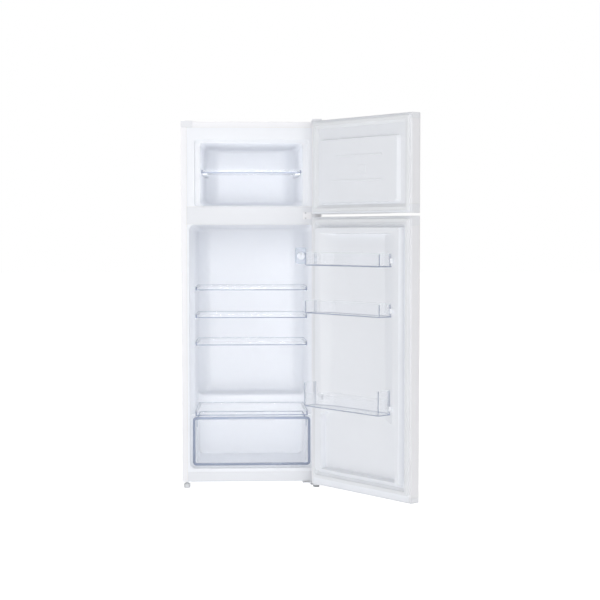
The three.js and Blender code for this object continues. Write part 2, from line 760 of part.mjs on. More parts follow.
// clear tray hung on the fridge door; its ends ride over the raised border
function balcony(rack) {
  const wall = RACK.wall;
  const over = RIM.height + 2;
  const outline = (inset) => polygon([
    [rack.from + inset, over + inset],
    [rack.from + inset, RACK.reach - inset],
    [rack.to - inset, RACK.reach - inset],
    [rack.to - inset, over + inset / 2],
    [414 - inset, 5.5 + inset],
    [135 + inset, 5.5 + inset],
    [84 + inset / 3, over + inset],
  ].map(([u, p]) => [across(u), proud(p)]));
  const top = rack.bottom + rack.end;
  const tray = alongZ(outline(0), rack.bottom, top)
    .subtract(alongZ(outline(wall), rack.bottom + wall, top + 5));
  const lowered = block(-400, 400, -60, proud(RACK.reach + 5), rack.bottom + rack.rim, top + 5);
  if (rack.end === rack.rim) {
    return tray;
  }
  const ends = [rack.from, rack.to].map((u) => {
    const near = across(u) + (u === rack.from ? -wall : 0);
    return block(near, near + wall, proud(over), proud(RACK.reach), rack.bottom + 1, top);
  });
  return tray.subtract(lowered).add(ends[0]).add(ends[1]);
}

// finger that steadies bottles, clipped over the rim of the lowest balcony
function bottleDivider() {
  const rack = RACKS[2];
  const x = across(150);
  const y = proud(RACK.reach);
  const rim = rack.bottom + rack.rim;
  const over = alongX([
    [y + 2.4, rim - 14],
    [y + 2.4, rim + 2.4],
    [y - RACK.wall - 2.6, rim + 2.4],
    [y - RACK.wall - 2.6, rim - 20],
    [y - RACK.wall - 0.5, rim - 20],
    [y - RACK.wall - 0.5, rim + 0.4],
    [y + 0.4, rim + 0.4],
    [y + 0.4, rim - 14],
  ], x - 14, x + 14);
  return over.add(block(x - 1.2, x + 1.2, y - 48, y - RACK.wall - 2.4, rim - 20, rim + 2));
}

// ---------------------------------------------------------------- assembly

const refrigerator = new THREE.Group();
const cabinet = new THREE.Group();
refrigerator.add(cabinet);

cabinet.add(mesh('cabinet_wrap', cabinetWrap(), finish.steel()));
cabinet.add(mesh('back_panel', backPanel(), finish.galvanised()));
cabinet.add(mesh('base_pan', basePan(), finish.galvanised()));
cabinet.add(mesh('bottom_rail', bottomRail(), finish.steel()));
cabinet.add(mesh('mullion_cover', mullionCover(), finish.liner()));
cabinet.add(mesh('fridge_liner', fridgeLiner(), finish.liner()));
cabinet.add(mesh('freezer_liner', freezerLiner(), finish.liner()));
cabinet.add(mesh('cabinet_foam', cabinetFoam(), finish.foam()));
cabinet.add(mesh('freezer_evaporator', freezerEvaporator(), finish.aluminium()));
cabinet.add(mesh('fridge_evaporator', fridgeEvaporator(), finish.aluminium()));
cabinet.add(mesh('condenser_left', condenser(-1), finish.copper()));
cabinet.add(mesh('condenser_right', condenser(1), finish.copper()));

cabinet.add(mesh('compressor', compressor(), finish.enamel()));
cabinet.add(mesh('compressor_tray', compressorTray(), finish.galvanised()));
cabinet.add(mesh('relay_cover', relayCover(), finish.dark()));
cabinet.add(mesh('drip_tray', dripTray(), finish.dark()));
cabinet.add(mesh('drain_spout', drainSpout(), finish.dark()));
cabinet.add(mesh('suction_pipe', suctionPipe(), finish.copper()));
cabinet.add(mesh('discharge_pipe', dischargePipe(), finish.copper()));
cabinet.add(mesh('drier_bottle', drierBottle(), finish.copper()));

cabinet.add(mesh('front_left_foot', frontFoot(-1), finish.dark()));
cabinet.add(mesh('front_right_foot', frontFoot(1), finish.dark()));
cabinet.add(mesh('rear_left_foot', rearFoot(-1), finish.dark()));
cabinet.add(mesh('rear_right_foot', rearFoot(1), finish.dark()));

cabinet.add(mesh('top_hinge', topHinge(), finish.zinc()));
cabinet.add(mesh('top_hinge_cover', topHingeCover(), finish.cap()));
cabinet.add(mesh('middle_hinge', middleHinge(), finish.steel()));
cabinet.add(mesh('bottom_hinge', bottomHinge(), finish.zinc()));
cabinet.add(mesh('blanking_cap', blankingCap(), finish.cap()));

cabinet.add(mesh('thermostat_housing', thermostatHousing(), finish.trim()));
cabinet.add(mesh('thermostat_knob', thermostatKnob(), finish.trim()));
cabinet.add(mesh('lamp_lens', lampLens(), finish.clear()));
cabinet.add(mesh('lamp_bulb', lampBulb(), finish.glass()));

['upper', 'middle', 'lower'].forEach((name, i) => {
  cabinet.add(mesh(`${name}_shelf_frame`, shelfFrame(SHELF, SHELF_TOPS[i]), finish.clear()));
  cabinet.add(mesh(`${name}_shelf_glass`, shelfGlass(SHELF, SHELF_TOPS[i]), finish.glass()));
});
const coverShape = { ...COVER, bar: 9 };
cabinet.add(mesh('crisper_cover_frame', shelfFrame(coverShape, COVER.top), finish.trim()));
cabinet.add(mesh('crisper_cover_glass', shelfGlass(coverShape, COVER.top), finish.glass()));
cabinet.add(mesh('crisper_drawer', crisperDrawer(), finish.clear()));
const iceShape = { ...ICE_SHELF, bar: 9, drop: 13 };
cabinet.add(mesh('freezer_shelf_frame', shelfFrame(iceShape, ICE_SHELF.top), finish.clear()));
cabinet.add(mesh('freezer_shelf_glass', shelfGlass(iceShape, ICE_SHELF.top), finish.glass()));

// each door and what hangs on it turns about the hinge pins
function swingGroup() {
  const swing = new THREE.Group();
  swing.position.set(PIN.x, PIN.y, 0);
  swing.rotation.z = THREE.MathUtils.degToRad(DOOR.open);
  refrigerator.add(swing);
  return (name, body, material) => {
    swing.add(mesh(name, body.translate([-PIN.x, -PIN.y, 0]), material));
  };
}

function addDoor(prefix, door, liner, upperCap, lowerCap) {
  const add = swingGroup();
  add(`${prefix}_door_skin`, doorSkin(door), finish.steel());
  add(`${prefix}_door_upper_cap`, upperCap, finish.cap());
  add(`${prefix}_door_lower_cap`, lowerCap, finish.cap());
  add(`${prefix}_door_foam`, doorFoam(door), finish.foam());
  add(`${prefix}_door_liner`, liner, finish.liner());
  const bottomInset = door === FRIDGE_DOOR ? GASKET.fridgeBottomInset : GASKET.inset;
  add(`${prefix}_door_gasket`, doorGasket(door, bottomInset), finish.gasket());
  return add;
}

addDoor(
  'freezer',
  FREEZER_DOOR,
  freezerDoorLiner(),
  doorCap(FREEZER_DOOR, true).subtract(pinHole(FREEZER_DOOR.top - 13, FREEZER_DOOR.top + 5)),
  doorCap(FREEZER_DOOR, false)
    .subtract(pinHole(FREEZER_DOOR.bottom - 5, FREEZER_DOOR.bottom + 14))
    .subtract(gripPocket(FREEZER_DOOR.bottom, -1)),
);

const addToFridgeDoor = addDoor(
  'fridge',
  FRIDGE_DOOR,
  fridgeDoorLiner(),
  doorCap(FRIDGE_DOOR, true)
    .subtract(pinHole(FRIDGE_DOOR.top - 14, FRIDGE_DOOR.top + 5))
    .subtract(gripPocket(FRIDGE_DOOR.top, 1)),
  doorCap(FRIDGE_DOOR, false).subtract(pinHole(FRIDGE_DOOR.bottom - 5, FRIDGE_DOOR.bottom + 16)),
);
RACKS.forEach((rack) => addToFridgeDoor(rack.name, balcony(rack), finish.clear()));
addToFridgeDoor('bottle_divider', bottleDivider(), finish.clear());

refrigerator.position.set(FOOT.x, -FOOT.y, 0);

export default refrigerator;
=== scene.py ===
"""A top freezer refrigerator with both doors standing open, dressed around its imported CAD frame.

Shapes are drawn in millimetres, with X = 0 on the cabinet's centre plane, Y = 0 on its front face and
Z = 0 on the floor. Pieces of a door are drawn with the door closed and swung open when they are made.
"""

import json
import math

import bmesh
import bpy
from mathutils import Matrix, Vector

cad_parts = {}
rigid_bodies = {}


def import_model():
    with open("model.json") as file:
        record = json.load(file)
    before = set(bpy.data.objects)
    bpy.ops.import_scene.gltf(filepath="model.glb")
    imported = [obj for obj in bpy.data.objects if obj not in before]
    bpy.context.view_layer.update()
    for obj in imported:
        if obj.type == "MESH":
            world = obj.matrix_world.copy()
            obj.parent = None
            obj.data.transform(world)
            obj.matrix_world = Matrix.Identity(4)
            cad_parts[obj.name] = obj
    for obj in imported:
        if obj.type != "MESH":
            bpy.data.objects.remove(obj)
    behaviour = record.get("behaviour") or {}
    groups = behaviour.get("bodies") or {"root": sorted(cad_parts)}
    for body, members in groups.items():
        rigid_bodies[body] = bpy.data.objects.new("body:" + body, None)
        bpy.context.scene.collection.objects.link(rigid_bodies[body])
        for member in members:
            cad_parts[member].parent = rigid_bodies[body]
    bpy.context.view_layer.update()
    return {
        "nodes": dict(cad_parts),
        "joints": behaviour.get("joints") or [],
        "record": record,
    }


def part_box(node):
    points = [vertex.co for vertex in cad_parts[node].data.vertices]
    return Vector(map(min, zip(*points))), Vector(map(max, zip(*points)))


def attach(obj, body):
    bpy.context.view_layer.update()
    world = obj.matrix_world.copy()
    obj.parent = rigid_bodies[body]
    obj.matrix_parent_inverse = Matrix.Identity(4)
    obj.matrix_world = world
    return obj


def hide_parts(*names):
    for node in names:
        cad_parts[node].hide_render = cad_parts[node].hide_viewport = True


for leftover in list(bpy.data.objects):
    bpy.data.objects.remove(leftover)
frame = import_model()

MM = 0.001
WRAP_LOW, WRAP_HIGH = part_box("cabinet_wrap")
HALF = (WRAP_HIGH.x - WRAP_LOW.x) / 2 / MM
TOP = WRAP_HIGH.z / MM
DEPTH = (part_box("back_panel")[1].y - WRAP_LOW.y) / MM
CABINET = Matrix.Translation(((WRAP_LOW.x + WRAP_HIGH.x) / 2, WRAP_LOW.y, 0)) @ Matrix.Scale(MM, 4)
UNDO = CABINET.inverted()
HINGE = next(j for j in frame["joints"] if j["name"] == "fridge_door_hinge")
PIN = UNDO @ Vector((HINGE["pos_m"][0], HINGE["pos_m"][1], 0))
OPEN = math.radians(-HINGE["range_deg"][0])
SWING = CABINET @ Matrix.Translation(PIN) @ Matrix.Rotation(OPEN, 4, "Z") @ Matrix.Translation(-PIN)
SEAL = 12.0  # between the closed door's inner face and the cabinet's front
WALL = 2.0  # thickness of the moulded liners
SHARP_EDGE = math.radians(32)  # a CAD piece's edges over this angle stay sharp
ROUND_EDGE = math.radians(28)  # and those over this one are rounded
DRAWN_EDGE = math.radians(34)  # the edges over this angle stay sharp on a piece drawn here
WHITE = (1, 1, 1, 1)


def span(node):
    """Lowest and highest corner of a CAD node in the drawing's millimetres."""
    low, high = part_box(node)
    return UNDO @ low, UNDO @ high


def middle(node):
    low, high = span(node)
    return (low + high) / 2


# ---------------------------------------------------------------- materials

LOOKS = {}


def link(owner, source, target):
    owner.node_tree.links.new(source, target)


def fill_in(made, inputs):
    """Sets a node's inputs by name, with an underscore for each space in a name."""
    for key, value in inputs.items():
        made.inputs[key.replace("_", " ")].default_value = value
    return made


def node(owner, kind, **inputs):
    return fill_in(owner.node_tree.nodes.new(kind), inputs)


def principled(name, **inputs):
    """A new look and its shader."""
    mat = bpy.data.materials.new(name)
    mat.use_nodes = True
    LOOKS[name] = mat
    return mat, fill_in(mat.node_tree.nodes["Principled BSDF"], inputs)


def place(mat):
    return node(mat, "ShaderNodeTexCoord").outputs["Object"]


def noise(mat, scale, detail=3.0, stretch=None):
    source = place(mat)
    if stretch:
        mapping = node(mat, "ShaderNodeMapping", Scale=stretch)
        link(mat, source, mapping.inputs["Vector"])
        source = mapping.outputs["Vector"]
    made = node(mat, "ShaderNodeTexNoise", Scale=scale, Detail=detail)
    link(mat, source, made.inputs["Vector"])
    return made.outputs["Fac"]


def cells(mat, scale, output="Color"):
    made = node(mat, "ShaderNodeTexVoronoi", Scale=scale)
    link(mat, place(mat), made.inputs["Vector"])
    return made.outputs[output]


def between(mat, share, low, high, start=0.25, end=0.75):
    """A number that runs from low to high as share runs from start to end."""
    made = node(mat, "ShaderNodeMapRange", From_Min=start, From_Max=end, To_Min=low, To_Max=high)
    link(mat, share, made.inputs["Value"])
    return made.outputs["Result"]


def paint(mat, shader, share, low, high, start=0.3, end=0.7):
    """Gives a base colour that runs from low to high as share runs from start to end."""
    ramp = node(mat, "ShaderNodeValToRGB")
    for stop, position, colour in zip(ramp.color_ramp.elements, (start, end), (low, high)):
        stop.position = position
        stop.color = (*colour, 1)
    link(mat, share, ramp.inputs["Fac"])
    link(mat, ramp.outputs["Color"], shader.inputs["Base Color"])


def roughen(mat, shader, share, rough):
    link(mat, between(mat, share, *rough), shader.inputs["Roughness"])


def relief(mat, shader, height, depth):
    """Bumps of a depth in metres."""
    bump = node(mat, "ShaderNodeBump", Strength=1.0, Distance=depth)
    link(mat, height, bump.inputs["Height"])
    link(mat, bump.outputs["Normal"], shader.inputs["Normal"])


def shades(colour, change):
    return [[min(1.0, c * scale) for c in colour] for scale in (1 - change, 1 + change)]


def surface(name, colour, rough, change, grain, depth, **inputs):
    """A solid finish: slow patches of tone, uneven roughness and a fine grain."""
    mat, shader = principled(name, **inputs)
    paint(mat, shader, noise(mat, 6), *shades(colour, change))
    roughen(mat, shader, noise(mat, 42), rough)
    relief(mat, shader, noise(mat, grain, 2.0), depth)


def spangled(name, colour, rough):
    """Zinc-coated sheet with its crystal pattern."""
    mat, shader = principled(name, Metallic=0.85)
    paint(mat, shader, cells(mat, 110), *shades(colour, 0.07), 0.1, 0.9)
    roughen(mat, shader, cells(mat, 110), rough)
    relief(mat, shader, noise(mat, 500, 2.0), 0.00003)


def brushed(name, colour, rough, stretch):
    """Bare metal with streaks; stretch packs them closer along each axis."""
    mat, shader = principled(name, Metallic=1.0)
    streaks = noise(mat, 60, 4.0, stretch)
    paint(mat, shader, streaks, *shades(colour, 0.06))
    roughen(mat, shader, streaks, rough)
    relief(mat, shader, streaks, 0.00002)


def foamed(name, colour):
    mat, shader = principled(name, Roughness=0.95)
    paint(mat, shader, noise(mat, 25, 5.0), *shades(colour, 0.08))
    relief(mat, shader, cells(mat, 450, "Distance"), 0.0006)


def see_through(name, colour, front, edge, rough, grain=90, depth=0.00005, ior=1.5):
    """Clear plastic or glass: more opaque towards its edges, with faint mould ripples."""
    mat, shader = principled(name, IOR=ior)
    paint(mat, shader, noise(mat, 9), *shades(colour, 0.02))
    roughen(mat, shader, noise(mat, 40), rough)
    weight = node(mat, "ShaderNodeLayerWeight", Blend=0.35)
    alpha = between(mat, weight.outputs["Facing"], front, edge, 0, 1)
    link(mat, alpha, shader.inputs["Alpha"])
    relief(mat, shader, noise(mat, grain, 2.0), depth)


surface(
    "enamel_steel", (0.85, 0.85, 0.875), (0.3, 0.38), 0.006, 260, 0.00002,
    Coat_Weight=0.2, Coat_Roughness=0.2,
)
surface("liner_plastic", (0.845, 0.864, 0.904), (0.3, 0.42), 0.008, 330, 0.00005)
surface("cap_plastic", (0.80, 0.81, 0.84), (0.42, 0.55), 0.012, 900, 0.00005)
surface("seal_rubber", (0.80, 0.815, 0.84), (0.6, 0.78), 0.02, 700, 0.00006)
surface("white_trim", (0.84, 0.855, 0.885), (0.18, 0.28), 0.01, 260, 0.00003)
surface("dark_plastic", (0.07, 0.073, 0.08), (0.5, 0.68), 0.08, 1100, 0.00007)
# Painted shade: a darker copy of the feet's grey plastic for the right front foot, which stands in shadow by
# the hinge; the left foot takes the paler grey below
surface("shaded_foot_plastic", (0.36, 0.37, 0.39), (0.42, 0.6), 0.05, 900, 0.00007)
surface("pale_foot", (0.68, 0.69, 0.71), (0.42, 0.6), 0.04, 900, 0.00007)
# Painted shade: a darker copy of the white finish, given to the mullion cover and the bottom rail to darken
# them
surface("shaded_front_strip", (0.765, 0.780, 0.815), (0.32, 0.42), 0.008, 300, 0.00003)
surface("black_enamel", (0.018, 0.018, 0.02), (0.25, 0.4), 0.1, 420, 0.00008, Coat_Weight=0.5)
spangled("galvanised_steel", (0.62, 0.64, 0.66), (0.34, 0.5))
brushed("zinc_steel", (0.66, 0.67, 0.69), (0.26, 0.42), (1, 1, 14))
brushed("copper", (0.72, 0.36, 0.2), (0.25, 0.5), (3, 3, 1))
brushed("aluminium", (0.74, 0.75, 0.77), (0.34, 0.5), (12, 1, 1))
foamed("foam", (0.80, 0.72, 0.47))
see_through("shelf_glass", (0.86, 0.91, 0.93), 0.02, 0.08, (0.06, 0.12), 30, 0.00002, 1.25)
see_through("clear_plastic", (0.82, 0.85, 0.91), 0.06, 0.42, (0.05, 0.12))
# Painted shade: a dark, nearly opaque blue-grey for the beads, lines, clips, rolls and frames on the clear
# mouldings, standing in for the shadow under a trim and the dark look of thick clear edges
see_through("clear_rim", (0.26, 0.30, 0.40), 0.8, 0.95, (0.2, 0.3))
see_through("frosted_lens", (0.66, 0.71, 0.8), 0.5, 0.8, (0.3, 0.45), 400, 0.0001)
# The mullion cover and the bottom rail take the darker painted-shade copy of the white finish
LOOK_OF_NODE = {"mullion_cover": "shaded_front_strip", "bottom_rail": "shaded_front_strip"}
CLEAR_LOOKS = {"shelf_glass", "clear_plastic", "clear_rim", "frosted_lens"}


# ---------------------------------------------------------------- modifiers for the pieces

def smooth_group():
    """Geometry nodes that shade smooth and keep the sharp edges sharp."""
    group = bpy.data.node_groups.new("smooth_by_angle", "GeometryNodeTree")
    for in_out in ("INPUT", "OUTPUT"):
        group.interface.new_socket("Geometry", in_out=in_out, socket_type="NodeSocketGeometry")
    add = group.nodes.new
    source, result = add("NodeGroupInput"), add("NodeGroupOutput")
    soft, hard = add("GeometryNodeSetShadeSmooth"), add("GeometryNodeSetShadeSmooth")
    hard.domain = "EDGE"
    hard.inputs["Shade Smooth"].default_value = False
    angle = add("GeometryNodeInputMeshEdgeAngle")
    above = add("FunctionNodeCompare")
    above.inputs[1].default_value = SHARP_EDGE
    join = group.links.new
    join(source.outputs[0], soft.inputs["Geometry"])
    join(soft.outputs[0], hard.inputs["Geometry"])
    join(angle.outputs["Unsigned Angle"], above.inputs[0])
    join(above.outputs[0], hard.inputs["Selection"])
    join(hard.outputs[0], result.inputs[0])
    return group


SMOOTH = smooth_group()


def let_light_through(piece, looks):
    """Clear mouldings neither shadow nor dim what stands behind them."""
    if CLEAR_LOOKS.intersection(looks):
        piece.visible_shadow = False
        piece.visible_diffuse = False


def weigh_normals(piece):
    piece.modifiers.new("normals", "WEIGHTED_NORMAL").keep_sharp = True


def soften(piece, bevel):
    """Joins a CAD mesh's split corners, rounds its edges by bevel millimetres and shades it."""
    weld = piece.modifiers.new("weld", "WELD")
    weld.merge_threshold = 0.02 * MM
    if bevel:
        rounding = piece.modifiers.new("round", "BEVEL")
        rounding.width = bevel * MM
        rounding.segments = 3
        rounding.limit_method = "ANGLE"
        rounding.angle_limit = ROUND_EDGE
    piece.modifiers.new("smooth", "NODES").node_group = SMOOTH
    weigh_normals(piece)


GLASS_ROUNDING = 0.8
EDGE_ROUNDING = {
    "mullion_cover": 0.5, "bottom_rail": 0.5, "top_hinge": 0.5, "middle_hinge": 0.5, "bottom_hinge": 0.5,
    "freezer_door_upper_cap": 0.8, "freezer_door_lower_cap": 0.8, "freezer_door_liner": 1.5,
    "fridge_door_upper_cap": 0.8, "fridge_door_lower_cap": 0.8, "fridge_door_liner": 1.5,
    "top_hinge_cover": 0.9, "blanking_cap": 0.6, "compressor_tray": 0.3, "base_pan": 0.25,
    "relay_cover": 3.0, "bottle_divider": 0.35,
}


def dress_cad():
    looks = {part["node"]: part["material_slot"] for part in frame["record"]["subparts"]}
    for name, piece in frame["nodes"].items():
        normals = piece.data.attributes.get("custom_normal")
        if normals:
            piece.data.attributes.remove(normals)
        piece.data.materials.clear()
        piece.data.materials.append(LOOKS[LOOK_OF_NODE.get(name, looks[name])])
        let_light_through(piece, [looks[name]])
        soften(piece, GLASS_ROUNDING if "glass" in name else EDGE_ROUNDING.get(name, 0))


# ---------------------------------------------------------------- drawing shapes

def rounded_rectangle(x0, x1, z0, z1, radius, steps):
    """Points of a rounded rectangle, anticlockwise from its lower right corner."""
    points = []
    for cx, cz, start in (
        (x1 - radius, z0 + radius, -90),
        (x1 - radius, z1 - radius, 0),
        (x0 + radius, z1 - radius, 90),
        (x0 + radius, z0 + radius, 180),
    ):
        for i in range(steps + 1):
            angle = math.radians(start + 90 * i / steps)
            points.append((cx + radius * math.cos(angle), cz + radius * math.sin(angle)))
    return points


def fillet(corners, radii, steps):
    """A closed outline with its corners rounded, by one radius or by a list of them."""
    points = []
    count = len(corners)
    if not isinstance(radii, list):
        radii = [radii] * count
    for i, corner in enumerate(corners):
        here = Vector(corner)
        back = (Vector(corners[i - 1]) - here).normalized()
        ahead = (Vector(corners[(i + 1) % count]) - here).normalized()
        half = back.angle(ahead) / 2
        centre = here + (back + ahead).normalized() * (radii[i] / math.sin(half))
        start = here + back * (radii[i] / math.tan(half)) - centre
        end = here + ahead * (radii[i] / math.tan(half)) - centre
        turn = start.angle_signed(end)
        for j in range(steps + 1):
            angle = -turn * j / steps
            c, s = math.cos(angle), math.sin(angle)
            points.append((centre.x + start.x * c - start.y * s, centre.y + start.x * s + start.y * c))
    return points


def inset(outline, distance):
    """The outline moved inwards by distance; it runs anticlockwise."""
    moved = []
    count = len(outline)
    for i in range(count):
        before, here, after = (Vector(outline[(i + k) % count]) for k in (-1, 0, 1))
        first = (here - before).normalized()
        second = (after - here).normalized()
        normal = Vector((-(first.y + second.y), first.x + second.x)).normalized()
        share = max(0.35, normal.dot(Vector((-first.y, first.x))))
        moved.append(tuple(here + normal * (distance / share)))
    return moved


def resample(outline, step):
    """The outline with points added along its longer straight stretches."""
    points = []
    for i, here in enumerate(outline):
        start, end = Vector(here), Vector(outline[(i + 1) % len(outline)])
        parts = max(1, round((end - start).length / step))
        points += [tuple(start.lerp(end, j / parts)) for j in range(parts)]
    return points


def oblong(x0, x1, z0, z1):
    """Corners of a rectangle, anticlockwise."""
    return [(x0, z0), (x1, z0), (x1, z1), (x0, z1)]


def wave(angle):
    """Runs from 1 down to 0 and back once in each turn."""
    return 0.5 + 0.5 * math.cos(angle)


def circle(radius, sides, flutes=0, flute_depth=0.0):
    """Points of a circle, with rounded flutes cut into it where their depth is given."""
    points = []
    for i in range(sides):
        angle = 2 * math.pi * i / sides
        here = radius - flute_depth * wave(flutes * angle)
        points.append((here * math.cos(angle), here * math.sin(angle)))
    return points


def quarter(count=6):
    """A quarter turn in steps: how far it goes ahead and how far aside, as shares of its radius."""
    angles = [math.pi / 2 * i / count for i in range(count + 1)]
    return [(math.sin(angle), 1 - math.cos(angle)) for angle in angles]


def at_depth(outline, y):
    return [Vector((x, y, z)) for x, z in outline]


def at_height(outline, z):
    return [Vector((x, y, z)) for x, y in outline]


class Shape:
    """Geometry gathered in millimetres and made into one piece."""

    def __init__(self):
        self.bm = bmesh.new()
        self.looks = []

    def use(self, look):
        if look not in self.looks:
            self.looks.append(look)
        return self.looks.index(look)

    def loft(self, rings, look, caps=(True, True), loop=False):
        """Skin over rings of points that all have the same count."""
        index = self.use(look)
        rows = [[self.bm.verts.new(point) for point in ring] for ring in rings]
        count = len(rows[0])
        faces = []
        pairs = list(zip(rows, rows[1:])) + ([(rows[-1], rows[0])] if loop else [])
        for near, far in pairs:
            for i in range(count):
                j = (i + 1) % count
                faces.append(self.bm.faces.new((near[i], near[j], far[j], far[i])))
        if caps[0] and not loop:
            faces.append(self.bm.faces.new(rows[0][::-1]))
        if caps[1] and not loop:
            faces.append(self.bm.faces.new(rows[-1]))
        for face in faces:
            face.material_index = index
        bmesh.ops.recalc_face_normals(self.bm, faces=faces)
        return self

    def box(self, x0, x1, y0, y1, z0, z1, look, bevel, steps=3):
        """A block with its edges rounded."""
        index = self.use(look)
        part = bmesh.new()
        bmesh.ops.create_cube(part, size=1)
        bmesh.ops.scale(part, vec=(x1 - x0, y1 - y0, z1 - z0), verts=part.verts)
        bmesh.ops.bevel(part, geom=part.edges[:], offset=bevel, segments=steps, profile=0.5, affect="EDGES")
        bmesh.ops.translate(part, vec=((x0 + x1) / 2, (y0 + y1) / 2, (z0 + z1) / 2), verts=part.verts)
        for face in part.faces:
            face.material_index = index
        data = bpy.data.meshes.new("part")
        part.to_mesh(data)
        part.free()
        self.bm.from_mesh(data)
        bpy.data.meshes.remove(data)

    def bar(self, start, end, section, look, up=(0, 0, 1)):
        """A straight bar; the section's first number runs sideways and its second along up."""
        start, end = Vector(start), Vector(end)
        along = (end - start).normalized()
        side = along.cross(Vector(up)).normalized()
        rise = side.cross(along)
        rings = [[p + side * a + rise * b for a, b in section] for p in (start, end)]
        self.loft(rings, look)

    def lathe(self, profile, origin, look, axis=(0, 0, 1), sides=32):
        """A turned shape; profile gives radius and distance along the axis."""
        turn = Vector((0, 0, 1)).rotation_difference(Vector(axis)).to_matrix()
        rings = [
            [Vector(origin) + turn @ Vector((a, b, h)) for a, b in circle(max(r, 0.01), sides)]
            for r, h in profile
        ]
        self.loft(rings, look)

    def screw(self, origin, axis, radius=3.6):
        """A pan head with a cross recess."""
        turn = Vector((0, 0, 1)).rotation_difference(Vector(axis)).to_matrix()
        rings = []
        recess = 0.22 * radius
        for share in (1.0, 1.0, 0.93, 0.8, 0.64, 0.5, 0.36, 0.2, 0.06):
            dome = radius * 0.5 * math.sqrt(1.0 - 0.75 * share * share) if rings else -0.2
            ring = []
            for x, y in circle(radius * share, 32):
                in_cross = share < 0.6 and abs(2 * x * y) < 0.3 * share * radius * radius
                point = Vector((x, y, dome - recess if in_cross else dome))
                ring.append(Vector(origin) + turn @ point)
            rings.append(ring)
        self.loft(rings, "zinc_steel")

    def make(self, name, body, stands_for=(), swing=False, slot=None):
        """Ends the shape as a piece on a body; the slot argument is not used."""
        data = bpy.data.meshes.new(name)
        self.bm.transform(SWING if swing else CABINET)
        self.bm.to_mesh(data)
        self.bm.free()
        for look in self.looks:
            data.materials.append(LOOKS[look])
        data.shade_smooth()
        data.set_sharp_from_angle(angle=DRAWN_EDGE)
        piece = bpy.data.objects.new(name, data)
        bpy.context.scene.collection.objects.link(piece)
        weigh_normals(piece)
        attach(piece, body)
        let_light_through(piece, self.looks)
        if stands_for:
            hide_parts(*stands_for)
        return piece


# ---------------------------------------------------------------- camera, floor and light

CAMERA = {"lens": 82.86, "place": (-45, -5373, 997.5), "tilt": 87.25, "turn": -2.49}
# place and target in millimetres, width and height in metres, power in watts, spread in degrees
LIGHTS = {
    "front_soft": ((-300, -5200, 1500), (0, 200, 700), (2.4, 2.4), 39.5, 180),
    "front_low": ((200, -5000, 500), (0, 200, 700), (2.0, 2.0), 15, 180),
    "left_soft": ((-2800, -3000, 1300), (450, -300, 800), (2.0, 2.0), 29, 180),
    "right_soft": ((2900, -3400, 1300), (300, -200, 800), (2.0, 2.0), 26, 180),
    "above": ((300, -900, 3600), (100, 0, 600), (2.4, 2.4), 26, 180),
    "behind": ((-900, 4200, 2400), (0, 400, 700), (2.4, 2.4), 60, 180),
    "fridge_fill": ((0, 4, 510), (0, 400, 510), (0.42, 0.8), 0.36, 180),
    "freezer_fill": ((0, 12, 1228), (0, 400, 1228), (0.36, 0.22), 0.22, 180),
    "fridge_beam": ((0, -1500, 520), (0, 400, 520), (0.42, 0.9), 0.07, 6),
    "freezer_beam": ((0, -1500, 1228), (0, 400, 1228), (0.38, 0.22), 0.02, 6),
}
FLOOR_REACH = 30.0  # metres


def camera():
    data = bpy.data.cameras.new("camera")
    data.sensor_width = 36
    data.lens = CAMERA["lens"]
    eye = bpy.data.objects.new("camera", data)
    bpy.context.scene.collection.objects.link(eye)
    eye.location = CABINET @ Vector(CAMERA["place"])
    eye.rotation_euler = (math.radians(CAMERA["tilt"]), 0, math.radians(CAMERA["turn"]))
    bpy.context.scene.camera = eye


def area_light(name, place_mm, target_mm, size, power, spread):
    data = bpy.data.lights.new(name, "AREA")
    data.shape = "RECTANGLE"
    data.size, data.size_y = size
    data.energy = power
    data.spread = math.radians(spread)
    lamp = bpy.data.objects.new(name, data)
    bpy.context.scene.collection.objects.link(lamp)
    lamp.location = CABINET @ Vector(place_mm)
    aim = CABINET @ Vector(target_mm) - lamp.location
    lamp.rotation_euler = aim.to_track_quat("-Z", "Y").to_euler()
    lamp.visible_camera = False


def studio():
    """A world that is plain white to the camera and lights the object softly, and the lights."""
    world = bpy.data.worlds.new("studio")
    bpy.context.scene.world = world
    world.use_nodes = True
    light = fill_in(world.node_tree.nodes["Background"], {"Color": WHITE, "Strength": 0.2})
    seen = node(world, "ShaderNodeBackground", Color=WHITE, Strength=1.0)
    mix = node(world, "ShaderNodeMixShader")
    rays = node(world, "ShaderNodeLightPath")
    link(world, rays.outputs["Is Camera Ray"], mix.inputs["Fac"])
    link(world, light.outputs[0], mix.inputs[1])
    link(world, seen.outputs[0], mix.inputs[2])
    link(world, mix.outputs[0], world.node_tree.nodes["World Output"].inputs["Surface"])
    for name, row in LIGHTS.items():
        area_light(name, *row)
    bpy.context.scene.view_settings.view_transform = "Standard"
    bpy.context.scene.view_settings.look = "None"


def floor():
    """A white disc that glows, more to the camera than to the object."""
    mat, shader = principled("floor", Roughness=0.7, Emission_Color=WHITE)
    paint(mat, shader, noise(mat, 2), (0.93, 0.93, 0.935), (0.95, 0.95, 0.95))
    rays = node(mat, "ShaderNodeLightPath")
    glow = between(mat, rays.outputs["Is Camera Ray"], 0.4, 0.86, 0, 1)
    link(mat, glow, shader.inputs["Emission Strength"])
    data = bpy.data.meshes.new("floor")
    points = at_height(circle(FLOOR_REACH, 48), 0)
    data.from_pydata(points, [], [tuple(range(len(points)))])
    data.materials.append(mat)
    ground = bpy.data.objects.new("floor", data)
    bpy.context.scene.collection.objects.link(ground)


# ---------------------------------------------------------------- cabinet liners

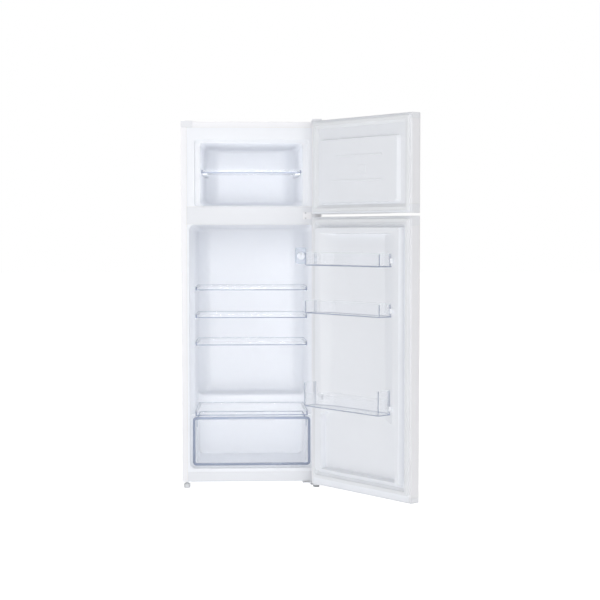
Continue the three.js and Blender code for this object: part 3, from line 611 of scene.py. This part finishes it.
FRIDGE = {"low": 81, "top": 1032, "back": 440, "back_half": 219, "corner": 40, "radius": 22}
FREEZER = {"low": 1104, "top": 1350, "back": 400, "back_half": 182, "corner": 40, "radius": 18}
HUMP = {"front": 330, "top": 334, "round": 12}  # the step in the fridge's floor over the compressor
MOUTH = {"half": 220, "top": 1361, "depth": 10, "round": 3}  # the wider front end of the freezer's room
LEDGE_DROP = 12.3  # from a shelf's top to the ledge under its rail


def blunt_min(a, b, width):
    """The smaller of two numbers, with a rounded change from one to the other."""
    share = max(0.0, width - abs(a - b)) / width
    return min(a, b) - share * share * width / 4


def flare(y, width, reach):
    """How far a wall bows outwards at depth y; it fades within about reach of the front."""
    return width * math.exp(-((y / reach) ** 2))


def fridge_space(y):
    """Half width, floor and ceiling of the fridge's room at depth y."""
    draft = 1 - y / FRIDGE["back"]
    side = FRIDGE["back_half"] + 6 * draft + flare(y, 16, 55)
    corner_cut = FRIDGE["back_half"] + FRIDGE["back"] - FRIDGE["corner"] - y
    low = FRIDGE["low"] + 5 - flare(y, 5, 40)
    return blunt_min(side, corner_cut, 30), low, FRIDGE["top"] - 10 + 4 * draft + flare(y, 6, 40)


def freezer_space(y):
    """Half width, floor and ceiling of the freezer's room at depth y."""
    draft = 1 - y / FREEZER["back"]
    corner_cut = FREEZER["back_half"] + FREEZER["back"] - FREEZER["corner"] - y
    side = blunt_min(FREEZER["back_half"] + 17 * draft, corner_cut, 24)
    return side, FREEZER["low"] + 14 - 14 * draft, FREEZER["top"] - 6 + 6 * draft


def ring_at(y, half, low, high, radius):
    return at_depth(rounded_rectangle(-half, half, low, high, radius, 8), y)


def room_ring(room, space, y, floor_level=0.0):
    """A ring of a room's walls at depth y, with its floor at floor_level or above."""
    half, low, high = space(y)
    return ring_at(y, half, max(low, floor_level), high, room["radius"])


def rear_half(room, y):
    """Half width at depth y where a room's angled rear corner bends into its back wall."""
    bend = 40.0
    left = room["back"] - y
    line = room["back_half"] - room["corner"]
    if left > bend * (1 - math.cos(math.pi / 4)):
        return line + left
    return line - bend * math.tan(math.pi / 8) + math.sqrt(left * (2 * bend - left))


def wall_rings(room, space, start, floor_level=0.0):
    """Rings from depth start down a room's walls, around its rear edge and onto its back wall."""
    turn = 14.0
    steps = 26
    end = room["back"] - turn
    rings = [room_ring(room, space, start + (end - start) * i / steps, floor_level) for i in range(steps + 1)]
    half, low, high = space(end)
    low = max(low, floor_level)
    for ahead, aside in quarter()[1:]:
        y = end + turn * ahead
        cut = turn * aside
        rings.append(ring_at(y, min(half, rear_half(room, y)), low + cut, high - cut, room["radius"]))
    return rings


def liner_shell(name, rings):
    """A liner made from rings from its front rim to its back wall, with a wall outside them."""
    piece = Shape().loft(rings, "liner_plastic", caps=(False, True)).make(f"{name}_shell", "cabinet", (name,))
    if piece.data.polygons[0].normal.y > 0:
        piece.data.flip_normals()
    solid = piece.modifiers.new("wall", "SOLIDIFY")
    solid.thickness = WALL * MM
    solid.offset = -1
    piece.modifiers.move(piece.modifiers.find("wall"), 0)


def ledges(name, rows):
    """Ledges on both side walls; a row gives top, thickness, tip, root, front and back."""
    shape = Shape()
    for side in (-1, 1):
        for top, thick, tip, root, front, back in rows:
            shape.box(*sorted((side * tip, side * root)), front, back, top - thick, top, "liner_plastic", 2.2)
    shape.make(name, "cabinet")


def fridge_liner():
    lowest, highest = span("fridge_liner")
    lip, top_lip = 3.0, 1.6
    half, low, high = fridge_space(0)
    rings = [
        ring_at(0, highest.x, lowest.z, highest.z, 2),
        ring_at(0, half + lip, low - lip, high + top_lip, 9),
    ]
    for (ahead, aside), radius in zip(quarter(4)[1:], (12, 16, 20, FRIDGE["radius"])):
        cut = lip * ahead
        ceiling = high + top_lip - cut * 0.6
        rings.append(ring_at(lip * aside, half + lip - cut, low - lip + cut, ceiling, radius))
    front, bend = HUMP["front"], HUMP["round"]
    start, steps = lip + 1, 19
    for i in range(steps + 1):
        rings.append(room_ring(FRIDGE, fridge_space, start + (front - bend - start) * i / steps))
    floor_level = fridge_space(front)[1]
    for ahead, aside in quarter():
        y = front - bend + bend * ahead
        rings.append(room_ring(FRIDGE, fridge_space, y, floor_level + bend * aside))
    for ahead, aside in quarter():
        y = front + bend * aside
        rings.append(room_ring(FRIDGE, fridge_space, y, HUMP["top"] - bend + bend * ahead))
    rings += wall_rings(FRIDGE, fridge_space, front + bend + 3, HUMP["top"])
    liner_shell("fridge_liner", rings)
    shelf_tops = [span(f"{level}_shelf_frame")[1].z for level in LEVELS]
    rows = [(top - LEDGE_DROP, 7, 211, 228, 121, 342) for top in shelf_tops]
    cover_top = span("crisper_cover_frame")[1].z
    ledges("fridge_shelf_ledges", rows + [(cover_top - LEDGE_DROP, 6, 214, 236, 40, 324)])


def freezer_liner():
    lowest, highest = span("freezer_liner")
    half, top, depth, bend = MOUTH["half"], MOUTH["top"], MOUTH["depth"], MOUTH["round"]
    floor_z = FREEZER["low"]
    rings = [
        ring_at(0, highest.x, lowest.z, highest.z, 2),
        ring_at(0, half + bend, floor_z - 1, top + bend, 15),
    ]
    for ahead, aside in quarter(4)[1:]:
        grow, y = bend - bend * ahead, bend * aside
        rings.append(ring_at(y, half + grow, floor_z, top + grow - y, 12))
    for ahead, aside in quarter(4):
        y, cut = depth - bend + bend * ahead, bend * aside
        rings.append(ring_at(y, half - cut, floor_z, top - y - cut, 12))
    room_half, _, room_high = freezer_space(depth)
    for ahead, aside in quarter(4):
        y, grow = depth + bend * aside, bend - bend * ahead
        ceiling = min(room_high + grow, FREEZER["top"] + 2)
        rings.append(ring_at(y, room_half + grow, floor_z + 0.2, ceiling, FREEZER["radius"]))
    liner_shell("freezer_liner", rings + wall_rings(FREEZER, freezer_space, depth + bend + 1))
    shelf_top = span("freezer_shelf_frame")[1].z
    ledges("freezer_shelf_ledges", [(shelf_top - LEDGE_DROP, 7, 172, 192, 62, 354)])


# ---------------------------------------------------------------- shelves and drawer

LEVELS = ("upper", "middle", "lower")


def facing(section, side):
    """A section turned to the right (1) or to the left (-1)."""
    return [(-side * a, b) for a, b in section][::side]


def trim_section(height):
    """Section of a shelf's front trim: depth behind its face, and height below the shelf's top."""
    return [
        (0.2, -1.0), (1.2, 0), (10.2, 0), (11, -0.8), (11, -4.6), (6.4, -4.8), (6.4, 3.4 - height),
        (5.8, 3 - height), (0.8, 3 - height), (0, 3.8 - height),
        (0, -7.6), (0.7, -7.2), (0.7, -6.4), (0, -6.0),
    ]


def shelf(body, front_half, back_half, rail_start):
    """Moulded frame of a glass shelf: grooved front trim, side rails with end clips, and a back rail."""
    low, high = span(f"{body}_frame")
    front, back, top = low.y, high.y, high.z
    height = top - low.z
    nose = front_half - 1
    shape = Shape()
    shape.bar((-nose, front, top), (nose, front, top), facing(trim_section(height), 1), "clear_plastic")
    # The bead under the trim, the lines along the rails and the back, and the end clips are painted shade in
    # the dark blue-grey
    bead = fillet([(0.2, 0), (0.2, -3.4), (7.6, -3.4), (7.6, 0)], 1.1, 3)
    bead = [(a, 3.4 - height + b) for a, b in bead]
    shape.bar((-nose, front, top), (nose, front, top), facing(bead, 1), "clear_rim")
    rail = fillet(
        [(0, 0), (4.6, 0), (4.6, -5.2), (11, -5.2), (11, -7.6), (3.4, -7.6), (3.4, -12), (0, -12)], 0.5, 2,
    )
    for side in (-1, 1):
        start, end = (side * front_half, front + rail_start, top), (side * back_half, back, top)
        shape.bar(start, end, facing(rail, side), "clear_plastic")
        shape.bar(start, end, facing(fillet(oblong(0.4, 1.9, -0.2, 0.5), 0.3, 2), side), "clear_rim")
        clip = sorted((side * (front_half - 6), side * (front_half - 0.6)))
        shape.box(*clip, front + 1, front + 26, low.z - 1, top - 2, "clear_rim", 1.6)
    rail = fillet([(0, 0), (4, 0), (4, -5.2), (7, -5.2), (7, -8), (0, -8)], 0.6, 2)
    shape.bar((-back_half, back, top), (back_half, back, top), rail, "clear_plastic")
    line = fillet(oblong(-0.4, 1.2, -1.2, 0.6), 0.4, 2)
    shape.bar((-back_half, back, top - 1.8), (back_half, back, top - 1.8), line, "clear_rim")
    shape.make(f"{body}_trim", body, (f"{body}_frame",))


def crisper():
    """Clear drawer: rounded bin with a rim, a framed front panel, a grip and a strip on each side."""
    low, high = span("crisper_drawer")
    front, back = 27.0, high.y
    bottom, top = low.z, high.z
    half, back_half, corner, wall = 217, 212, 22, 2.2
    step, rim = front + 50, top - 16  # behind the step, the walls end at the height of the rim
    shape = Shape()

    def bowl(y, height):
        """Section of the bin's wall from rim to rim, outside and then inside."""
        outside = half + (back_half - half) * (y - front) / (back - front)
        points = []
        for inner in (0, wall):
            width, base, arc = outside - inner, bottom + inner, corner - inner
            path = [(-width, height)]
            path += [(-width + arc * aside, base + arc - arc * ahead) for ahead, aside in quarter(7)]
            path += [(width - arc + arc * ahead, base + arc * aside) for ahead, aside in quarter(7)]
            path.append((width, height))
            points += path[::-1] if inner else path
        return at_depth(points, y)

    start, steps = front + 3, 8
    depths = [start + (back - start) * i / steps for i in range(steps + 1)]
    shape.loft([bowl(y, top if y < step else rim) for y in depths], "clear_plastic")
    inside = back_half - 1
    panel = fillet(
        [(-inside, rim), (-inside, bottom + 1), (inside, bottom + 1), (inside, rim)], [1, 20, 20, 1], 6,
    )
    shape.loft([at_depth(panel, back - 2.4), at_depth(panel, back - 0.2)], "clear_plastic")
    for side in (-1, 1):
        # The rolls and side strips here and the face frame below are painted shade in the dark blue-grey
        x = side * (half - 1)
        roll = fillet(oblong(-2.6, 2.6, -2.4, 1.2), 0.9, 3)
        shape.bar((x, step, rim), (side * inside, back, rim), roll, "clear_rim")
        shape.box(*sorted((x, x - side * 3)), front + 4, front + 10, top - 40, top - 3, "clear_rim", 1.2)
    roll = fillet(oblong(-2, 2, -2.4, 1.2), 0.8, 3)
    shape.bar((-back_half + 2, back - 1.4, rim), (back_half - 2, back - 1.4, rim), roll, "clear_rim")
    outline = rounded_rectangle(low.x, high.x, bottom, top, 15, 8)

    def face_ring(depth, cut):
        return at_depth(inset(outline, cut), front + depth)

    shape.loft([face_ring(0.9, 9.6), face_ring(3.1, 9.6)], "clear_plastic")
    shape.loft([
        face_ring(0.0, 1.2), face_ring(0.0, 8.4), face_ring(0.9, 10.2), face_ring(3.6, 10.2),
        face_ring(5.4, 8.4), face_ring(5.4, 1.2), face_ring(4.4, 0), face_ring(1.0, 0),
    ], "clear_rim", loop=True)
    grip = fillet([(0, -3), (13, -3), (16, -14), (14, -14), (11, -5.4), (0, -5.4)], 0.7, 3)
    shape.bar((-90, front + 1, top), (90, front + 1, top), grip, "clear_plastic")
    shape.make("crisper_drawer_body", "crisper_drawer", ("crisper_drawer",))


# ---------------------------------------------------------------- doors

# rim: height of a tray's front; from, to: its ends, measured in from the hinge side edge of the door
RACKS = {
    "upper_balcony": {"rim": 50, "from": 61, "to": 469},
    "middle_balcony": {"rim": 50, "from": 61, "to": 469},
    "bottle_balcony": {"rim": 52, "from": 57, "to": 465},
}
TRAY_REACH = 87.0  # the trays' fronts, proud of the door's inner face
BORDER = 25.0  # the door liners' raised border, proud of the same face
PLATEAU = 11.0  # the raised middle of the freezer door's liner, likewise


def across(u):
    """X of a point u in from the hinge side edge of a closed door."""
    return HALF - u


def proud(p):
    """Y of a point p proud of a closed door's inner face."""
    return -SEAL + p


def gasket(door):
    """Magnetic seal: a folded bellows under a magnet pocket, mitred round the door."""
    low, high = span(f"{door}_door_gasket")
    left, right, corner = -HALF + 9, HALF - 18, 6.0
    section = [
        (0, 0.3), (0, 2.2), (1.4, 3.6), (0.6, 5.4), (0.4, 8.4), (1.4, 10.6), (3.2, 11.4), (12.6, 11.4),
        (14.2, 10.6), (15, 8.6), (14.2, 6.6), (15.2, 5.4), (17.4, 5.0), (18.6, 3.8), (20.6, 3.4), (22.6, 2.8),
        (24, 1.4), (24, 0.3),
    ]
    rings = []
    for a, p in section:
        radius = corner - a + 0.4 if a < corner else 2.0
        ring = rounded_rectangle(left + a, right - a, low.z + a, high.z - a, radius, 5)
        rings.append(at_depth(ring, proud(p)))
    shape = Shape().loft(rings, "seal_rubber", loop=True)
    shape.make(f"{door}_door_seal", f"{door}_door", (f"{door}_door_gasket",), swing=True)


def balcony(name):
    """Clear door tray: rounded walls with a rolled rim, a foot bead, floor ribs and corner posts."""
    rack = RACKS[name]
    start, end = rack["from"], rack["to"]
    lowest, highest = span(name)
    bottom, tall = lowest.z, highest.z - lowest.z
    rear = BORDER + 2
    corners = [
        (start, rear), (start, TRAY_REACH), (end, TRAY_REACH), (end, rear),
        (414, 5.5), (135, 5.5), (84, rear),
    ]
    outline = fillet([(across(u), proud(p)) for u, p in corners], [4, 9, 9, 4, 10, 10, 10], 5)
    outline = resample(outline, 7)
    shape = Shape()

    def top_at(x):
        """Height of the wall: the ends of a bottle rack stand above its front."""
        u = HALF - x
        away = min(u - start, end - u)
        share = 1 - min(1.0, max(0.0, (away - 3) / 2.5))
        return rack["rim"] + (tall - rack["rim"]) * share * share * (3 - 2 * share)

    def level(cut, drop=None, lift=None):
        """A ring of the tray's wall: drop below the rim, or lift above the floor."""
        ring = []
        for (x, y), (whole_x, _) in zip(inset(outline, cut), outline):
            z = bottom + lift if drop is None else bottom + top_at(whole_x) - drop
            ring.append(Vector((x, y, z)))
        return ring

    shape.loft([
        level(3.0, lift=0.0), level(0.8, lift=0.2), level(0.0, lift=1.6), level(0.0, drop=5.2),
        level(-0.3, drop=4.4), level(-0.3, drop=0.9), level(0.3, drop=0.0), level(1.8, drop=0.0),
        level(2.3, drop=0.8), level(2.3, lift=3.6), level(3.6, lift=2.3),
    ], "clear_plastic")
    # The foot bead here and the strips on the end posts below are painted shade in the dark blue-grey
    shape.loft([
        level(-0.7, lift=1.2), level(-0.9, lift=2.6), level(-0.1, lift=3.4), level(0.6, lift=3.2),
        level(0.6, lift=0.4), level(0.0, lift=0.2),
    ], "clear_rim", loop=True)
    low, high = bottom + 2, highest.z - 3
    face = proud(TRAY_REACH)
    for u, inwards in ((start, 1), (end, -1)):
        x = across(u + 5 * inwards)
        shape.box(x - 3.4, x + 3.4, face - 1.4, face + 1.0, low, high, "clear_plastic", 0.7)
        x = across(u + 2 * inwards)
        shape.box(x - 1.1, x + 1.1, face - 2.2, face + 0.6, low, high, "clear_rim", 0.5)
        x = across(u)
        for depth in (rear + 3, rear + 10):
            shape.box(x - 1, x + 1, proud(depth), proud(depth) + 1.6, low, high, "clear_rim", 0.4)
    for i in range(7):
        x = across(start + 60 + i * (end - start - 120) / 6)
        rib = (x - 0.8, x + 0.8, proud(rear + 6), face - 6, bottom + 2.2, bottom + 4.4)
        shape.box(*rib, "clear_plastic", 0.5)
    shape.make(f"{name}_tray", name, (name,), swing=True)


def lugs():
    """Hooks moulded on the fridge door's raised border, one pair for each balcony."""
    for name, rack in RACKS.items():
        shape = Shape()
        z = span(name)[0].z + rack["rim"] * 0.55
        for u in (rack["from"] - 3.6, rack["to"] + 3.6):
            x = across(u)
            hook = (x - 2.6, x + 2.6, proud(BORDER - 1), proud(BORDER + 14), z - 14, z + 4)
            shape.box(*hook, "liner_plastic", 1.6)
        shape.make(f"{name}_lugs", "fridge_door", swing=True)


def freezer_door_embossing():
    """Two long ribs and a pad pressed into the freezer door's plateau."""
    shape = Shape()
    base = proud(PLATEAU - 1)
    for z, u0, u1 in ((1288, 150, 400), (1196, 130, 410)):
        shape.box(across(u1), across(u0), base, proud(PLATEAU + 1.4), z - 3.4, z + 3.4, "liner_plastic", 1.6)
    shape.box(across(316), across(272), base, proud(PLATEAU + 1.0), 1222, 1252, "liner_plastic", 1.4)
    shape.make("freezer_door_ribs", "freezer_door", swing=True)


# ---------------------------------------------------------------- light and thermostat

CASE_LOW, CASE_HIGH = span("thermostat_housing")
LENS_LOW, LENS_HIGH = span("lamp_lens")
BOX_OUTLINE = rounded_rectangle(CASE_LOW.x, CASE_HIGH.x + 3, CASE_LOW.z, CASE_HIGH.z, 6, 6)
DIAL = middle("thermostat_knob")


def box_ring(y, cut):
    return at_depth(inset(BOX_OUTLINE, cut), y)


def control_box():
    """Case in front of the lamp, with side ribs and the dial's ticks."""
    face, split = CASE_LOW.y, LENS_LOW.y
    shape = Shape().loft([
        box_ring(face + 0.9, 2.6), box_ring(face + 0.2, 1.4), box_ring(face + 1.4, 0.2),
        box_ring(face + 3, 0), box_ring(split - 0.3, 0), box_ring(split - 0.3, 2),
        box_ring(face + 2.6, 2), box_ring(face + 2.2, 3),
    ], "frosted_lens")
    low, high = CASE_LOW.z + 14, CASE_HIGH.z - 14
    for i in range(6):
        y = face + 14 + i * 5
        shape.box(CASE_LOW.x - 0.7, CASE_LOW.x + 1, y, y + 2.2, low, high, "frosted_lens", 0.5)
    ticks, radius = 9, 17.4
    for i in range(ticks):
        angle = math.radians(-120 + 240 * i / (ticks - 1))
        x, z = DIAL.x + radius * math.sin(angle), DIAL.z + radius * math.cos(angle)
        shape.box(x - 0.5, x + 0.5, face - 0.2, face + 1, z - 0.9, z + 0.9, "dark_plastic", 0.2, 1)
    shape.make("thermostat_case", "cabinet", ("thermostat_housing",), slot="white_trim")


def knob():
    """Fluted dial with a grip bar and a mark."""
    x, y, z = DIAL.x, CASE_LOW.y, DIAL.z
    shape = Shape()
    rings = []
    for depth, radius, flute in (
        (-0.6, 15.2, 0), (-1.2, 16.0, 0.2), (-3.0, 16.0, 0.7), (-6.8, 15.2, 0.7), (-7.9, 14.5, 0.3),
        (-8.5, 13.2, 0), (-8.1, 11.0, 0), (-8.1, 0.1, 0),
    ):
        rings.append([Vector((x + a, y + depth, z + b)) for a, b in circle(radius, 72, 24, flute)])
    shape.loft(rings, "liner_plastic")
    shape.box(x - 1.6, x + 1.6, y - 11.2, y - 7.6, z - 12, z + 13.5, "liner_plastic", 1.1)
    shape.box(x - 0.5, x + 0.5, y - 11.5, y - 10.8, z + 4, z + 12, "dark_plastic", 0.25, 1)
    shape.make("thermostat_dial", "thermostat_knob", ("thermostat_knob",), slot="white_trim")


def lens():
    """Fluted diffuser over the lamp."""
    split, back, bend = LENS_LOW.y, LENS_HIGH.y, 4.0
    steps, flute = 48, 0.7
    rings = []
    for i in range(steps + 1):
        rings.append(box_ring(split + (back - bend - split) * i / steps, flute * wave(i * math.pi / 2)))
    rings += [box_ring(back - bend + bend * ahead, bend * aside) for ahead, aside in quarter(4)[1:]]
    rings += [box_ring(back - 2, 5), box_ring(back - 2.6, 2.4), box_ring(split, 2.0)]
    shape = Shape().loft(rings, "frosted_lens", loop=True)
    shape.make("lamp_cover", "cabinet", ("lamp_lens",), slot="clear_plastic")


def bulb():
    """Lamp: a threaded cap with a round glass on it."""
    origin = (DIAL.x, span("lamp_bulb")[0].y, DIAL.z)
    shape = Shape()
    cap = [(0, 0), (6, 0), (6.2, 1), (5.6, 2)]
    for i in range(6):
        cap += [(6.4, 3 + 2 * i), (5.7, 4 + 2 * i)]
    shape.lathe(cap + [(5.8, 15.4), (0, 15.4)], origin, "zinc_steel", (0, 1, 0))
    radius, centre = 10.8, 32
    glass = [(0, 15.5), (5.6, 15.5)]
    for i in range(11):
        angle = math.radians(-48 + 138 * i / 10)
        glass.append((radius * math.cos(angle), centre + radius * math.sin(angle)))
    shape.lathe(glass + [(0, 42.9)], origin, "frosted_lens", (0, 1, 0))
    shape.make("lamp_bulb_glass", "cabinet", ("lamp_bulb",), slot="shelf_glass")


# ---------------------------------------------------------------- compressor bay and back

def compressor():
    """Welded shell on its base plate, with rubber mounts, nuts and two pipe stubs."""
    x, y, _ = middle("compressor")
    belt_z, radius, steps = 112, 54, 12
    shape = Shape()

    def dome(turn, centre, height):
        """Radius and height at a turn from -1, the shell's bottom, to 1, its top."""
        angle = math.pi / 2 * turn
        return max(0.5, radius * max(0.0, math.cos(angle)) ** 0.6), centre + height * math.sin(angle)

    profile = [dome(i / steps - 1, -26, 45) for i in range(steps + 1)]
    profile += [(54, 2), (57.5, 2.6), (58.2, 4), (58.2, 6), (57.5, 7.4), (55, 8), (54, 9)]
    profile += [dome(i / steps, 26, 43) for i in range(steps + 1)]
    rings = []
    for r, h in profile:
        rings.append([Vector((x + 1.175 * a, y + 0.94 * b, belt_z + h)) for a, b in circle(r, 56)])
    shape.loft(rings, "black_enamel")
    shape.box(x - 90, x + 90, y - 45, y + 45, 37, 40, "black_enamel", 1)
    for foot_x in (x - 40, x + 40):
        shape.box(foot_x - 8, foot_x + 8, y - 33, y + 33, 39, 58, "black_enamel", 3)
    rubber = [
        (0, 31.7), (8, 31.7), (9, 33), (9, 35), (7, 36), (7, 37.5), (9, 38.5), (9, 41), (7.6, 43), (0, 43),
    ]
    nut = [(0, 42.5), (5.2, 42.5), (5.2, 46), (4.6, 46.8), (3, 46.8), (2.8, 49), (0, 49.4)]
    for bolt_y in (y - 35, y + 35):
        for bolt_x in (x - 78, x + 78):
            shape.lathe(rubber, (bolt_x, bolt_y, 0), "dark_plastic", sides=24)
            shape.lathe(nut, (bolt_x, bolt_y, 0), "zinc_steel", sides=6)
    for z in (120, 86):
        stub = [(0, -4), (5.6, -4), (5.6, 4), (4.9, 5), (0, 5)]
        shape.lathe(stub, (x - 69.5, y - 1, z), "copper", (1, 0, 0), 20)
    shape.make("compressor_shell", "cabinet", ("compressor",))


def relay():
    """Ribs and a clip on the starter's cover."""
    low, high = span("relay_cover")
    shape = Shape()
    for i in range(5):
        z = low.z + 8 + i * 9
        shape.box(high.x - 0.6, high.x + 1.4, low.y + 8, high.y - 8, z, z + 3, "dark_plastic", 0.8)
    clip = (low.x + 6.5, low.x + 18.5, low.y - 2.5, low.y + 1, low.z + 16, low.z + 36)
    shape.box(*clip, "zinc_steel", 0.6)
    shape.make("relay_cover_ribs", "cabinet")


def drip_tray():
    """Thin-walled tray with a rolled rim; a row gives the height above its floor and the inset."""
    low, high = span("drip_tray")
    outline = rounded_rectangle(low.x, high.x, low.y, high.y, 9, 6)
    rows = (
        (0, 5), (0.4, 3.6), (2, 2.6), (24, 0.4), (24.4, -0.4), (25.8, -0.4), (26, 0.2), (26, 2), (25, 2.6),
        (4, 4.6), (2.4, 6.6),
    )
    shape = Shape().loft([at_height(inset(outline, cut), low.z + lift) for lift, cut in rows], "dark_plastic")
    shape.make("drip_tray_pan", "cabinet", ("drip_tray",))


def pipe_collars():
    """Brazed sleeves on the necks of the drier bottle."""
    low, high = span("drier_bottle")
    x, y, _ = middle("drier_bottle")
    shape = Shape()
    sleeve = [(0, -7), (4.4, -7), (4.9, -6), (4.9, 6), (4.2, 7), (0, 7)]
    for z in (high.z - 16, low.z + 18):
        shape.lathe(sleeve, (x, y, z), "copper", sides=20)
    shape.make("pipe_sleeves", "cabinet")


def back_details():
    """Pressed beads and screws on the back panel."""
    beads = Shape()
    y = DEPTH
    edge = HALF - 62
    low, high = 350, TOP - 90
    section = fillet([(-5, 0.4), (-3, -1.3), (3, -1.3), (5, 0.4)], [0.3, 1.2, 1.2, 0.3], 3)
    rows = [low + (high - low) * i / 3 for i in range(4)]
    for z in rows:
        beads.bar((-edge, y, z), (edge, y, z), [(b, a) for a, b in section], "galvanised_steel")
    for x in (-edge, edge):
        for z0, z1 in zip(rows, rows[1:]):
            beads.bar((x, y, z0 + 12), (x, y, z1 - 12), section, "galvanised_steel", (0, -1, 0))
    beads.make("back_panel_beads", "cabinet")
    screws = Shape()
    for side in (-1, 1):
        for i in range(6):
            screws.screw((side * (HALF - 14), y, 320 + i * 205), (0, 1, 0))
    for x in (-160, 0, 160):
        for z in (TOP - 16, 300):
            screws.screw((x, y, z), (0, 1, 0))
    screws.make("back_panel_screws", "cabinet")


def hinge_screws():
    shape = Shape()
    top_plate = span("top_hinge")[1].z
    bottom_plate = span("bottom_hinge")[0].z
    radius = 3.4
    for x, z in ((210, 1057), (210, 1077), (236, 1075)):
        shape.screw((x, -2.6, z), (0, -1, 0), radius)
    for x, y in ((PIN.x - 14, 14), (PIN.x - 2, 30)):
        shape.screw((x, y, top_plate + 4.8), (0, 0, 1), radius)
    for x in (PIN.x - 50, PIN.x - 26):
        shape.screw((x, 50, bottom_plate + 4.2), (0, 0, -1), radius)
    shape.make("hinge_screws", "cabinet")


def thread_profile(z0, z1, radius, pitch):
    """Profile of a threaded shank, as rings instead of a spiral."""
    rows = int((z1 - z0) / pitch * 4)
    heights = [z0 + (z1 - z0) * i / rows for i in range(rows + 1)]
    groove = 0.55
    thread = [(radius - groove * wave(2 * math.pi * (z - z0) / pitch), z) for z in heights]
    return [(0, z0)] + thread + [(0, z1)]


def front_foot(side):
    """Levelling foot: a fluted wheel with a nut and a threaded shank."""
    name = f"front_{side}_foot"
    x, y, _ = middle(name)
    shape = Shape()
    rings = []
    for radius, z, flute in (
        (0.5, 0, 0), (11.3, 0, 0), (12.6, 0.8, 0), (12.8, 2.4, 0), (12.2, 3.0, 0), (12.4, 3.8, 0.3),
        (13.5, 5, 1.0), (13.5, 15, 1.0), (12.9, 16.4, 0.4), (11.8, 17.2, 0), (0.5, 17.2, 0),
    ):
        rings.append([Vector((x + a, y + b, z)) for a, b in circle(radius, 72, 18, flute)])
    # The right foot's wheel is darker than the left's: painted shade
    shape.loft(rings, "pale_foot" if side == "left" else "shaded_foot_plastic")
    nut = [(0, 17), (7.4, 17), (7.9, 17.5), (7.9, 20), (7.4, 20.5), (0, 20.5)]
    shape.lathe(nut, (x, y, 0), "zinc_steel", sides=6)
    shape.lathe(thread_profile(17, span(name)[1].z, 4, 1.5), (x, y, 0), "zinc_steel", sides=24)
    shape.make(f"{name}_screw", name, (name,), slot="dark_plastic")


def rear_foot(side):
    """Fixed foot with two grooves round it."""
    name = f"rear_{side}_foot"
    x, y, _ = middle(name)
    top = span(name)[1].z
    shape = Shape()
    shape.lathe([
        (0, 0), (13.6, 0), (15, 1.2), (15.4, 5), (14.2, 5.8), (14.2, 7.2), (15.7, 8), (16.4, 16),
        (15.2, 16.8), (15.2, 18.2), (16.7, 19), (17.8, 28.4), (17, top), (0, top),
    ], (x, y, 0), "dark_plastic", sides=40)
    shape.make(f"{name}_block", "cabinet", (name,))


# ---------------------------------------------------------------- putting it together

camera()
studio()
floor()
dress_cad()
fridge_liner()
freezer_liner()
for shelf_level in LEVELS:
    shelf(f"{shelf_level}_shelf", 222, 216.5, 11)
shelf("crisper_cover", 221, 216, 9)
shelf("freezer_shelf", 195, 180, 9)
crisper()
for door_name in ("freezer", "fridge"):
    gasket(door_name)
for rack_name in RACKS:
    balcony(rack_name)
lugs()
freezer_door_embossing()
control_box()
knob()
lens()
bulb()
compressor()
relay()
drip_tray()
pipe_collars()
back_details()
hinge_screws()
for foot_side in ("left", "right"):
    front_foot(foot_side)
    rear_foot(foot_side)
